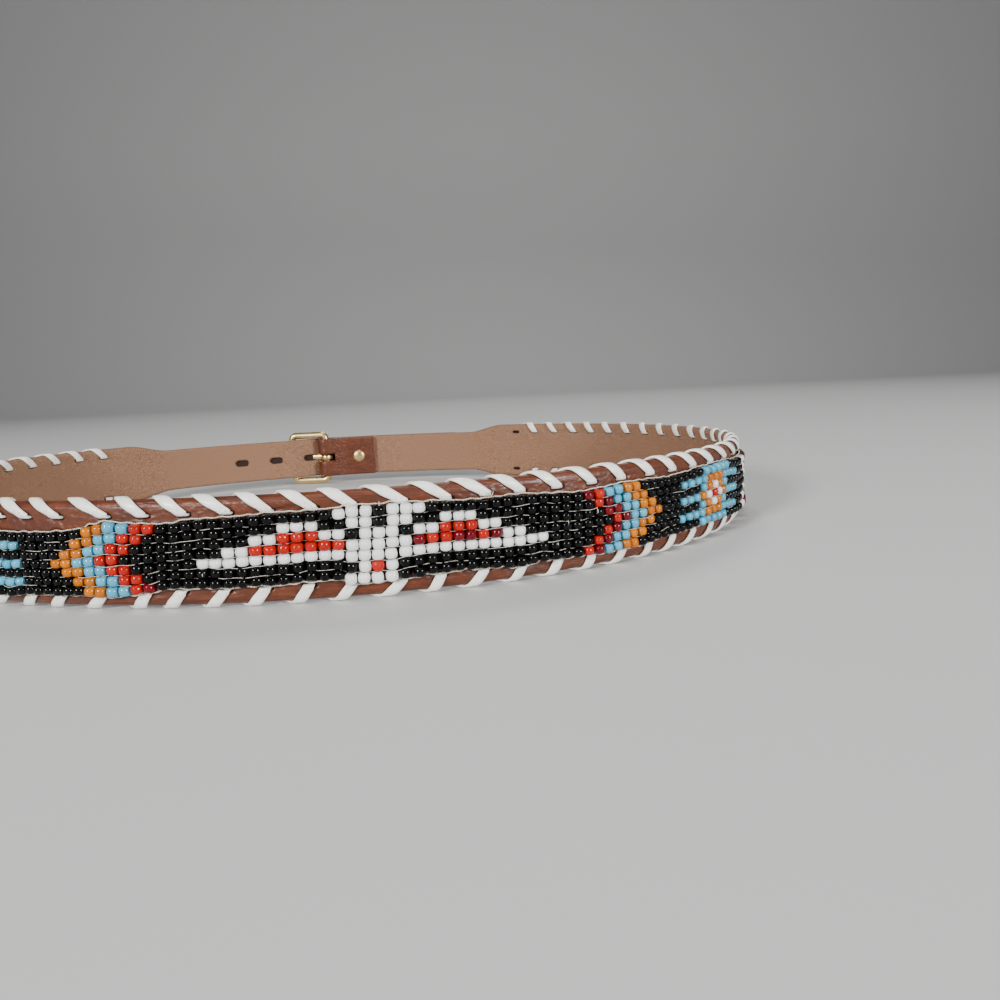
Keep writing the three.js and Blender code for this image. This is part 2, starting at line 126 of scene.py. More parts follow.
def turned(profile: np.ndarray, ring: np.ndarray) -> tuple[np.ndarray, np.ndarray, np.ndarray]:
    """Turns a profile round its axis.

    Args:
        profile: radius and height of each of its points.
        ring: points on the unit circle.

    Returns:
        The two coordinates across the axis, which are the radius times the ring's, and the one along it.
    """
    return profile[:, :1] * ring[:, 0], profile[:, :1] * ring[:, 1], profile[:, 1:] + 0 * ring[:, 0]


def link_object(name: str, data: bpy.types.ID) -> bpy.types.Object:
    """Makes an object and puts it into the scene.

    Args:
        name: the object's name.
        data: its mesh, light or camera.

    Returns:
        The object.
    """
    thing = bpy.data.objects.new(name, data)
    bpy.context.scene.collection.objects.link(thing)
    return thing


# The belt's course and main sizes


@dataclass
class Loop:
    """The ellipse that the middle of the leather follows, seen from above, in millimetres."""

    length: float = 711.172
    depth: float = 190.0
    front_offset: float = 25.5
    centre_y: float = 0.0
    samples: int = 6001
    halvings: int = 40
    half_width: float = field(init=False)
    angles: np.ndarray = field(init=False)
    arcs: np.ndarray = field(init=False)

    def __post_init__(self) -> None:
        """Halves an interval until the ellipse's girth is the belt's length."""
        self.angles = np.linspace(0, 2 * np.pi, self.samples)
        narrow, wide = 0.0, self.length / 2
        for _ in range(self.halvings):
            self.half_width = (narrow + wide) / 2
            self.arcs = self.girth(self.half_width)
            if self.arcs[-1] < self.length:
                narrow = self.half_width
            else:
                wide = self.half_width

    def girth(self, half_width: float) -> np.ndarray:
        """Arc length from the front point to each sampled angle.

        Args:
            half_width: half of the ellipse's extent along X.

        Returns:
            The running sum of the chords between the sampled points.
        """
        x = half_width * np.sin(self.angles)
        y = self.depth / 2 * np.cos(self.angles)
        return np.concatenate([[0], np.cumsum(np.hypot(np.diff(x), np.diff(y)))])

    def place(self, belt: np.ndarray) -> np.ndarray:
        """Belt coordinates to X, Y and Z in metres.

        The point of the ellipse at that arc length is (a sin t, -b cos t), and out follows its outward
        normal (b sin t, -a cos t) made one long.

        Args:
            belt: an array whose last axis is along, up, out, in millimetres.

        Returns:
            An array of the same shape with X, Y, Z in metres.
        """
        arc = np.mod(belt[..., 0] + self.front_offset, self.length)
        angle = np.interp(arc, self.arcs, self.angles)
        sine, cosine = np.sin(angle), np.cos(angle)
        half_depth = self.depth / 2
        size = np.hypot(half_depth * sine, self.half_width * cosine)
        x = self.half_width * sine + belt[..., 2] * half_depth * sine / size
        y = self.centre_y - half_depth * cosine - belt[..., 2] * self.half_width * cosine / size
        return np.stack([x, y, belt[..., 1]], axis=-1) * MM


@dataclass(frozen=True)
class Sizes:
    """The measures that several sub-assemblies share, in millimetres.

    The tables of edges and shifts were read off the photograph and turned into belt coordinates.
    """

    height: float = 25.0
    middle: float = 12.5
    pitch: float = 9.236
    slot_phase: float = 6.2
    slots_each_way: int = 29
    slot_up: float = 20.82
    leather_half: float = 1.6
    leather_top: float = 24.25
    edge_round: float = 1.9
    heel: float = 355.586
    band_half: float = 264.8
    bead_pitch: float = 2.894
    bead_out: float = 2.45
    bed_low: float = 5.42
    bed_high: float = 19.55
    edge_places: tuple[float, ...] = (
        -265, -230, -190, -150, -115, -90, -84, -78, -72, -67, -63.7, -60.8, -57, -52, -49, -43.4, -37.6, -32,
        -26, -20, -14.5, -9, -5.8, 0, 3, 5.8, 11.6, 17.4, 23, 26, 29, 32, 36, 40.5, 46, 49, 53, 58, 64, 69.5,
        75, 81, 87, 98, 115, 150, 190, 230, 265,
    )
    low_edges: tuple[float, ...] = (
        3.6, 3.5, 3.8, 3.5, 3.7, 3.3, 3.2, 3.8, 3.75, 3.85, 3.8, 3.6, 3.5, 4.0, 4.4, 5.3, 5.1, 5.0,
        5.1, 5.05, 5.45, 5.4, 4.15, 4.05, 4.1, 4.4, 4.8, 4.9, 4.75, 4.5, 4.0, 4.1, 4.55, 4.4, 4.2, 4.2, 3.8,
        4.0, 3.9, 4.6, 4.8, 4.9, 4.9, 4.8, 4.0, 3.6, 3.7, 3.5, 3.6,
    )
    high_edges: tuple[float, ...] = (
        19.2, 19.0, 19.3, 19.1, 18.8, 18.4, 17.7, 17.6, 17.75, 17.95, 18.5, 19.3, 20.0, 19.45, 19.25, 19.2,
        20.0, 20.0, 20.3, 20.6, 20.5, 20.7, 21.2, 21.0, 21.1, 21.0, 20.7, 20.35, 20.15, 20.3, 20.4, 20.3,
        20.0, 19.6, 19.3, 19.3, 19.6, 19.95, 19.95, 19.7, 19.6, 19.9, 20.4, 20.5, 19.6, 19.2, 19.0, 19.3,
        19.2,
    )
    shifted_from: int = -9
    upper_shifts: tuple[float, ...] = (
        -1.3, -2.0, 0.35, 0.0, -0.35, -0.35, -1.0, -1.0, -2.0, -0.6, -0.5, -0.9, -2.1, -2.2, -2.1, -2.8,
        -2.6, -3.5, -3.9, -3.9, -3.4, -2.6, -1.8, -0.9,
    )
    lower_shifts: tuple[float, ...] = (
        -1.5, -2.8, -1.8, -1.0, -2.6, -2.4, -3.0, -3.1, -3.1, -1.8, -2.6, -2.2, -2.3, -2.6, -2.8, -2.9,
        -3.4, -3.8, -4.0, -3.5, -2.8, -2.0, -1.2, -0.5,
    )
    shift_seed: int = 4
    unseen_shift: float = 0.35
    unseen_waves: Pair = (3.7, 7.9)
    slot_clear: float = 2.35

    def numbers(self) -> np.ndarray:
        """The slots' numbers, in ascending order along the belt."""
        return np.arange(-self.slots_each_way, self.slots_each_way)

    def measured(self, number: np.ndarray, table: tuple[float, ...], seed: int) -> np.ndarray:
        """Reads a table of measured shifts.

        Args:
            number: the slots' numbers, 0 at the slot phase.
            table: the shifts from the first measured slot on.
            seed: picks the small waves that stand for shifts elsewhere.

        Returns:
            One shift along the belt for each slot.
        """
        place = number - self.shifted_from
        values = np.array(table)
        known = (place >= 0) & (place < len(values))
        unseen = self.unseen_shift * waves(number, self.unseen_waves, seed)
        return np.where(known, values[np.clip(place, 0, len(values) - 1)], unseen)

    def slot_shift(self, number: np.ndarray, lower: bool) -> np.ndarray:
        """How far the slots of one edge stand from the even spacing."""
        table = self.lower_shifts if lower else self.upper_shifts
        return self.measured(number, table, self.shift_seed + lower)

    def slots(self, lower: bool) -> np.ndarray:
        """Where the slots of one edge are along the belt, in ascending order."""
        number = self.numbers()
        return self.slot_phase + self.pitch * number + self.slot_shift(number, lower)

    def beside_slot(self, along: np.ndarray, up: np.ndarray) -> np.ndarray:
        """How far along the belt each point is from the nearest slot of its own edge.

        Args:
            along: positions along the belt.
            up: heights above the floor, which tell the edge.

        Returns:
            The distance, which is negative before the slot.
        """
        sides = []
        for lower in (False, True):
            slots = self.slots(lower)
            after = np.clip(np.searchsorted(slots, along), 1, len(slots) - 1)
            back, ahead = along - slots[after - 1], along - slots[after]
            sides.append(np.where(np.abs(back) < np.abs(ahead), back, ahead))
        return np.where(up > self.middle, sides[0], sides[1])

    def skew(self, along: np.ndarray, up: np.ndarray) -> np.ndarray:
        """How far a grid that is even along the belt is moved so that it follows both edges' slots.

        Args:
            along: even positions along the belt.
            up: heights above the floor.

        Returns:
            The slots' own shifts at each edge, eased from the lower edge's to the upper edge's.
        """
        number = self.numbers()
        even = self.slot_phase + self.pitch * number
        knots = (even[:, None] + np.array([-self.slot_clear, self.slot_clear])).ravel()
        knots = np.concatenate([[knots[0] - self.slot_clear], knots, [knots[-1] + self.slot_clear]])
        rows = []
        for lower in (False, True):
            shift = np.repeat(self.slot_shift(number, lower), 2)
            rows.append(np.interp(along, knots, np.concatenate([[0], shift, [0]])))
        share = smooth_step(self.height - self.slot_up, self.slot_up, up)
        return rows[0] * share + rows[1] * (1 - share)

    def bead_edges(self, along: np.ndarray) -> tuple[np.ndarray, np.ndarray]:
        """The wavy lower and upper edges of the beadwork.

        Args:
            along: positions along the belt.

        Returns:
            The lower and the upper edge's height above the floor.
        """
        low = along_table(along, self.edge_places, self.low_edges)
        high = along_table(along, self.edge_places, self.high_edges)
        return low, high


# Meshes


def grid_quads(rows: int, columns: int, ring: bool = True) -> np.ndarray:
    """Quads between neighbouring points of a grid that is stored row by row.

    Args:
        rows: how many rows of points.
        columns: how many points in a row.
        ring: True joins the last point of each row to its first.

    Returns:
        One row of four point numbers for each quad.
    """
    here = np.arange(rows - 1)[:, None] * columns
    first = np.arange(columns if ring else columns - 1)[None, :]
    after = (first + 1) % columns
    return np.stack(
        [here + first, here + after, here + columns + after, here + columns + first], axis=-1
    ).reshape(-1, 4)


@dataclass
class Shape:
    """Closed surfaces gathered as whole arrays and written to one mesh."""

    loop: Loop
    points: list[np.ndarray] = field(default_factory=list)
    quads: list[np.ndarray] = field(default_factory=list)
    triangles: list[np.ndarray] = field(default_factory=list)
    marks: dict[str, list[np.ndarray]] = field(default_factory=dict)
    count: int = 0

    def add(self, belt: np.ndarray, quads: np.ndarray, triangles: np.ndarray, **marks: np.ndarray) -> None:
        """Adds one or more closed surfaces that all wind the same way.

        Where the volume that they enclose comes out negative, every face is turned round.

        Args:
            belt: points in belt coordinates.
            quads: faces of four points.
            triangles: faces of three points.
            marks: one number for each point and named attribute.
        """
        world = self.loop.place(belt)
        corners = np.concatenate([quads[:, [0, 1, 2]], quads[:, [0, 2, 3]], triangles])
        a, b, c = (world[corners[:, i]] for i in range(3))
        if np.einsum("ij,ij->", a, np.cross(b, c)) < 0:
            quads, triangles = quads[:, ::-1], triangles[:, ::-1]
        self.points.append(world)
        self.quads.append(quads + self.count)
        self.triangles.append(triangles + self.count)
        self.marks.setdefault("belt", []).append(belt)
        for name, values in marks.items():
            self.marks.setdefault(name, []).append(values)
        self.count += len(world)

    def add_sweep(self, rings: np.ndarray, closed: bool = False, **marks: np.ndarray) -> None:
        """Adds a tube through rings, with a fan of triangles over each end unless it meets itself.

        Args:
            rings: belt coordinates, one row of points for each ring.
            closed: True joins the last ring to the first.
            marks: one number for each ring and point.
        """
        rows, columns = rings.shape[:2]
        belt = rings.reshape(-1, 3)
        flat = {name: values.reshape(-1) for name, values in marks.items()}
        if closed:
            quads = grid_quads(rows + 1, columns) % (rows * columns)
            self.add(belt, quads, np.zeros((0, 3), int), **flat)
            return
        belt = np.concatenate([belt, rings[[0, -1]].mean(axis=1)])
        flat = {
            name: np.concatenate([values, marks[name][[0, -1]].mean(axis=1)])
            for name, values in flat.items()
        }
        first = np.arange(columns)
        after = (first + 1) % columns
        hub = np.full(columns, rows * columns)
        base = (rows - 1) * columns
        start = np.stack([hub, after, first], axis=1)
        end = np.stack([hub + 1, base + first, base + after], axis=1)
        self.add(belt, grid_quads(rows, columns), np.concatenate([start, end]), **flat)

    def add_tube(self, path: np.ndarray, across: np.ndarray, section: np.ndarray) -> None:
        """Carries one section along a path.

        A ring's point is the path's point plus section x times across, plus section y times the unit
        vector that is square to both the path and across.

        Args:
            path: belt coordinates of the path.
            across: the section's x direction at each point of the path, or one for all of it.
            section: x and y of the section's points, or those of each ring.
        """
        heading = unit(np.gradient(path, axis=0))
        across = np.broadcast_to(across, path.shape)
        across = unit(across - heading * (across * heading).sum(axis=1, keepdims=True))
        normal = np.cross(across, heading)
        section = np.broadcast_to(section, (len(path), *section.shape[-2:]))
        sideways = section[..., :1] * across[:, None]
        self.add_sweep(path[:, None] + sideways + section[..., 1:] * normal[:, None])

    def write(self, name: str, material: bpy.types.Material, sharp_deg: float = 50.0) -> bpy.types.Object:
        """Makes the Blender object.

        Args:
            name: the piece's name.
            material: its finish.
            sharp_deg: edges that turn by more than this are shaded sharp.

        Returns:
            The object, at the origin, with its place in its mesh.
        """
        points = np.concatenate(self.points)
        quads = np.concatenate(self.quads)
        triangles = np.concatenate(self.triangles)
        corners = np.concatenate([quads.ravel(), triangles.ravel()])
        starts = np.concatenate(
            [np.arange(len(quads)) * 4, quads.size + np.arange(len(triangles)) * 3]
        )
        mesh = bpy.data.meshes.new(name)
        mesh.vertices.add(len(points))
        mesh.vertices.foreach_set("co", points.astype(np.float32).ravel())
        mesh.loops.add(len(corners))
        mesh.loops.foreach_set("vertex_index", corners.astype(np.int32))
        mesh.polygons.add(len(starts))
        mesh.polygons.foreach_set("loop_start", starts.astype(np.int32))
        mesh.polygons.foreach_set("use_smooth", np.ones(len(starts), bool))
        mesh.update(calc_edges=True)
        mesh.validate()
        for mark, parts in self.marks.items():
            values = np.concatenate(parts).astype(np.float32)
            if values.ndim == 2:
                mesh.attributes.new(mark, "FLOAT_VECTOR", "POINT").data.foreach_set("vector", values.ravel())
            else:
                mesh.attributes.new(mark, "FLOAT", "POINT").data.foreach_set("value", values)
        mesh.set_sharp_from_angle(angle=math.radians(sharp_deg))
        mesh.materials.append(material)
        log.info("%s: %d faces", name, len(starts))
        return link_object(name, mesh)


def fit_to_body(piece: bpy.types.Object, slot: str, *nodes: str) -> None:
    """Makes a piece ride on the belt's one body and stand for CAD nodes.

    Args:
        piece: the finished piece.
        slot: not used.
        nodes: the CAD nodes that it stands for.
    """
    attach(piece, "root")
    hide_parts(*nodes)


# Materials


@dataclass(frozen=True)
class Value:
    """A number in a shader graph. Arithmetic on it adds Math nodes."""

    graph: "Graph"
    socket: bpy.types.NodeSocket

    def maths(self, operation: str, first: "Value | float", second: "Value | float") -> "Value":
        """Adds one Math node.

        Args:
            operation: the Math node's operation.
            first: its first input.
            second: its second input.

        Returns:
            The node's result.
        """
        return self.graph.value("ShaderNodeMath", {"operation": operation}, {0: first, 1: second})

    def __add__(self, other: "Value | float") -> "Value":
        """self + other."""
        return self.maths("ADD", self, other)

    def __radd__(self, other: float) -> "Value":
        """other + self."""
        return self.maths("ADD", other, self)

    def __sub__(self, other: "Value | float") -> "Value":
        """self - other."""
        return self.maths("SUBTRACT", self, other)

    def __rsub__(self, other: float) -> "Value":
        """other - self."""
        return self.maths("SUBTRACT", other, self)

    def __mul__(self, other: "Value | float") -> "Value":
        """self * other."""
        return self.maths("MULTIPLY", self, other)

    def __rmul__(self, other: float) -> "Value":
        """other * self."""
        return self.maths("MULTIPLY", other, self)

    def step(self, low: float, high: float) -> "Value":
        """Eases from 0 where this value is low to 1 where it is high."""
        inputs = {"Value": self, "From Min": low, "From Max": high}
        return self.graph.value("ShaderNodeMapRange", {"interpolation_type": "SMOOTHSTEP"}, inputs)


@dataclass
class Graph:
    """The node graph of one material with a Principled shader."""

    name: str
    material: bpy.types.Material = field(init=False)

    def __post_init__(self) -> None:
        """Makes an empty material."""
        self.material = bpy.data.materials.new(self.name)
        self.material.use_nodes = True
        self.material.node_tree.nodes.clear()

    def node(self, kind: str, settings: dict, inputs: dict) -> bpy.types.Node:
        """Adds a node, sets it up, and then fills its sockets.

        Args:
            kind: the node's type.
            settings: its properties.
            inputs: a value, a Value or a socket to link, by the input's name or number.

        Returns:
            The new node.
        """
        node = self.material.node_tree.nodes.new(kind)
        for key, setting in settings.items():
            setattr(node, key, setting)
        for key, given in inputs.items():
            socket = node.inputs[key]
            if isinstance(given, Value):
                given = given.socket
            if isinstance(given, bpy.types.NodeSocket):
                self.material.node_tree.links.new(given, socket)
            elif socket.type == "RGBA":
                socket.default_value = (*given, 1)
            else:
                socket.default_value = given
        return node

    def value(self, kind: str, settings: dict, inputs: dict, output: int | str = 0) -> Value:
        """Adds a node, as node does, and wraps one of its outputs."""
        return Value(self, self.node(kind, settings, inputs).outputs[output])

    def mark(self, name: str) -> Value:
        """The mesh's own attribute of that name, as a number."""
        return self.value("ShaderNodeAttribute", {"attribute_name": name}, {}, "Fac")

    def belt(self, stretch: Triple = (1, 1, 1)) -> bpy.types.NodeSocket:
        """Belt coordinates in millimetres, each multiplied by its stretch."""
        belt = self.node("ShaderNodeAttribute", {"attribute_name": "belt"}, {}).outputs["Vector"]
        return self.node("ShaderNodeVectorMath", {"operation": "MULTIPLY"}, {0: belt, 1: stretch}).outputs[0]

    def noise(self, stretch: Triple, scale: float, detail: float = 2.0) -> Value:
        """Noise between 0 and 1 over belt coordinates.

        Args:
            stretch: what each belt coordinate is multiplied by.
            scale: features in each millimetre.
            detail: octaves.

        Returns:
            The noise.
        """
        inputs = {"Vector": self.belt(stretch), "Scale": scale, "Detail": detail, "Roughness": 0.55}
        return self.value("ShaderNodeTexNoise", {}, inputs)

    def blend(
        self,
        share: Value | float,
        first: bpy.types.NodeSocket | Colour,
        second: bpy.types.NodeSocket | Colour,
    ) -> bpy.types.NodeSocket:
        """Mixes two colours.

        Args:
            share: 0 gives the first and 1 the second.
            first: a colour or a socket.
            second: a colour or a socket.

        Returns:
            The mixed colour's socket.
        """
        return self.node("ShaderNodeMix", {"data_type": "RGBA"}, {0: share, 6: first, 7: second}).outputs[2]

    def bump(self, height: Value, relief: Pair) -> bpy.types.NodeSocket:
        """A normal from a height map.

        Args:
            height: the height.
            relief: how much of the effect to use, and how far a height of 1 stands out in millimetres.

        Returns:
            The normal's socket.
        """
        inputs = {"Height": height, "Strength": relief[0], "Distance": relief[1] * MM}
        return self.node("ShaderNodeBump", {}, inputs).outputs[0]

    def finish(self, inputs: dict) -> bpy.types.Material:
        """Adds the Principled shader and the output.

        Args:
            inputs: the shader's inputs.

        Returns:
            The finished material.
        """
        shader = self.node("ShaderNodeBsdfPrincipled", {}, inputs)
        self.node("ShaderNodeOutputMaterial", {}, {"Surface": shader.outputs[0]})
        return self.material


@dataclass(frozen=True)
class LeatherFinish:
    """Oiled saddle leather: pebbled face, burnished edge, suede back, painted shade in the slots and bed."""

    face: Colour = (0.125, 0.029, 0.008)
    # Lighter brown for the edge's streaks, partly wear and partly painted highlight.
    wear_and_sheen: Colour = (0.23, 0.068, 0.03)
    deep: Colour = (0.062, 0.014, 0.005)
    suede: Colour = (0.42, 0.24, 0.14)
    # Near black: painted shade in slots and holes; in the bed, partly dark thread and partly painted shade.
    pit: Colour = (0.02, 0.008, 0.005)
    pebble_scale: float = 0.85
    pebble_height: float = 0.6
    roughness: float = 0.3
    gloss: float = 0.42
    relief: Pair = (0.55, 0.22)

    def material(self) -> bpy.types.Material:
        """Builds the material.

        Returns:
            Leather whose pattern follows the belt.
        """
        graph = Graph("oiled_leather")
        outer = graph.mark("side").step(-0.5, 0.3)
        pit = graph.mark("pit")
        bed = graph.mark("bed")
        crown = graph.mark("edge")
        warp = graph.noise((0.5, 1, 1), 0.8, 2)
        cells = {"Vector": graph.belt((0.8, 1.1, 1)), "Scale": self.pebble_scale, "Smoothness": 0.4}
        pebble = graph.value("ShaderNodeTexVoronoi", {"feature": "SMOOTH_F1"}, cells)
        clouds = graph.noise((0.35, 1, 1), 0.4, 3)
        streaks = graph.noise((0.05, 1, 1), 3.6, 3)
        lines = graph.noise((0.03, 1.6, 1.6), 3.0, 1)
        pores = graph.noise((1, 1, 1), 5.0, 2)
        tone = clouds.step(0.3, 0.7) * 0.75 + streaks.step(0.3, 0.75) * 0.25
        colour = graph.blend(tone, self.deep, self.face)
        colour = graph.blend(pebble.step(0.35, 0.8) * 0.35, colour, self.deep)
        # Lighter streaks along the rounded edge: partly wear, partly painted highlight.
        colour = graph.blend(crown * streaks.step(0.5, 0.7) * 0.45, colour, self.wear_and_sheen)
        suede = graph.blend(pores.step(0.3, 0.75), self.deep, self.suede)
        colour = graph.blend(outer, suede, colour)
        # Painted shade: slots and holes go near black; in the bed it is partly dark thread, partly shade.
        shade = 1 - (1 - pit.step(0.15, 0.7)) * (1 - bed)
        colour = graph.blend(shade, colour, self.pit)
        grain = (1 - pebble.step(0.1, 0.75)) * (1 - crown * 0.55) * self.pebble_height
        grain = grain + warp * 0.9 + lines.step(0.5, 0.65) * crown * 0.3 + pores * 0.08
        rough = self.roughness + pores * 0.1 + pebble * 0.1 + (1 - outer) * 0.45 + shade * 0.3 - crown * 0.05
        return graph.finish(
            {
                "Base Color": colour,
                "Roughness": rough,
                "Normal": graph.bump(grain, self.relief),
                "Specular IOR Level": self.gloss,
            }
        )


@dataclass(frozen=True)
class BeadFinish:
    """Glass seed beads of one colour."""

    name: str
    colour: Colour
    shade: Colour
    roughness: float
    gloss: float
    own_share: float = 0.7
    swirl_share: float = 0.3
    duller: float = 0.03
    relief: Pair = (0.08, 0.1)

    def material(self) -> bpy.types.Material:
        """Builds the material.

        Returns:
            Glass whose tone changes a little from bead to bead.
        """
        graph = Graph(self.name)
        tone = graph.mark("tone")
        swirl = graph.noise((1, 1, 1), 0.9, 2)
        colour = graph.blend(tone * self.own_share + swirl * self.swirl_share, self.shade, self.colour)
        uneven = graph.noise((1, 1, 1), 1.6, 1)
        return graph.finish(
            {
                "Base Color": colour,
                "Roughness": self.roughness + tone * self.duller,
                "Normal": graph.bump(uneven, self.relief),
                "Specular IOR Level": self.gloss,
            }
        )


@dataclass(frozen=True)
class ThreadFinish:
    """Waxed cotton thread."""

    light: Colour = (0.82, 0.78, 0.68)
    dull: Colour = (0.42, 0.38, 0.32)
    roughness: float = 0.55
    relief: Pair = (0.5, 0.08)

    def material(self) -> bpy.types.Material:
        """Builds the material.

        Returns:
            Thread with fibres along the belt.
        """
        graph = Graph("waxed_thread")
        fibres = graph.noise((1.2, 5, 5), 1.6, 2)
        colour = graph.blend(fibres.step(0.35, 0.7), self.dull, self.light)
        rough = self.roughness + fibres * 0.2
        relief = graph.bump(fibres, self.relief)
        return graph.finish({"Base Color": colour, "Roughness": rough, "Normal": relief})


@dataclass(frozen=True)
class LacingFinish:
    """Flat ivory plastic lacing with dirt and painted shade where it enters the slots."""

    ivory: Colour = (0.88, 0.88, 0.83)
    yellowed: Colour = (0.72, 0.69, 0.6)
    # Dark brown for dirt specks and for painted shade where the strip enters its slot.
    dirt_and_shade: Colour = (0.2, 0.12, 0.07)
    roughness: float = 0.2
    relief: Pair = (0.2, 0.06)
    glow: float = 0.08
    glow_reach: Triple = (0.6, 0.45, 0.3)

    def material(self) -> bpy.types.Material:
        """Builds the material.

        Returns:
            Lacing whose dirt, painted shade and scuffs follow the strip.
        """
        graph = Graph("ivory_lacing")
        clouds = graph.noise((1, 1, 1), 0.5, 3)
        specks = graph.noise((1, 1, 1), 3.2, 3)
        scuffs = graph.noise((2.5, 0.4, 0.4), 2.0, 2)
        near = graph.mark("mouth")
        rim = graph.mark("rim")
        colour = graph.blend(clouds.step(0.35, 0.75) * 0.6 + rim * 0.25, self.ivory, self.yellowed)
        # Dirt specks all over and near the slot, plus a smooth painted shade close to the slot.
        grime_and_shade = near * specks.step(0.52, 0.68) * 0.7 + specks.step(0.7, 0.76) * 0.3 + near * 0.06
        colour = graph.blend(grime_and_shade.step(0.0, 1.05), colour, self.dirt_and_shade)
        return graph.finish(
            {
                "Base Color": colour,
                "Roughness": self.roughness + scuffs * 0.14 + near * 0.1,
                "Normal": graph.bump(scuffs + specks * 0.3, self.relief),
                "Subsurface Weight": self.glow,
                "Subsurface Radius": tuple(reach * MM for reach in self.glow_reach),
            }
        )


@dataclass(frozen=True)
class BrassFinish:
    """Solid brass, brushed by wear, with tarnish."""

    bright: Colour = (0.76, 0.56, 0.26)
    tarnish: Colour = (0.3, 0.19, 0.08)
    roughness: float = 0.2
    relief: Pair = (0.2, 0.05)

    def material(self) -> bpy.types.Material:
        """Builds the material.

        Returns:
            Brass with fine scratches.
        """
        graph = Graph("worn_brass")
        clouds = graph.noise((1, 1, 1), 0.4, 4)
        scratches = graph.noise((0.4, 3, 3), 2.5, 3)
        colour = graph.blend(clouds.step(0.5, 0.75) * 0.8, self.bright, self.tarnish)
        return graph.finish(
            {
                "Base Color": colour,
                "Metallic": 1.0,
                "Roughness": self.roughness + clouds * 0.15 + scratches * 0.1,
                "Normal": graph.bump(scratches, self.relief),
            }
        )


# Leather


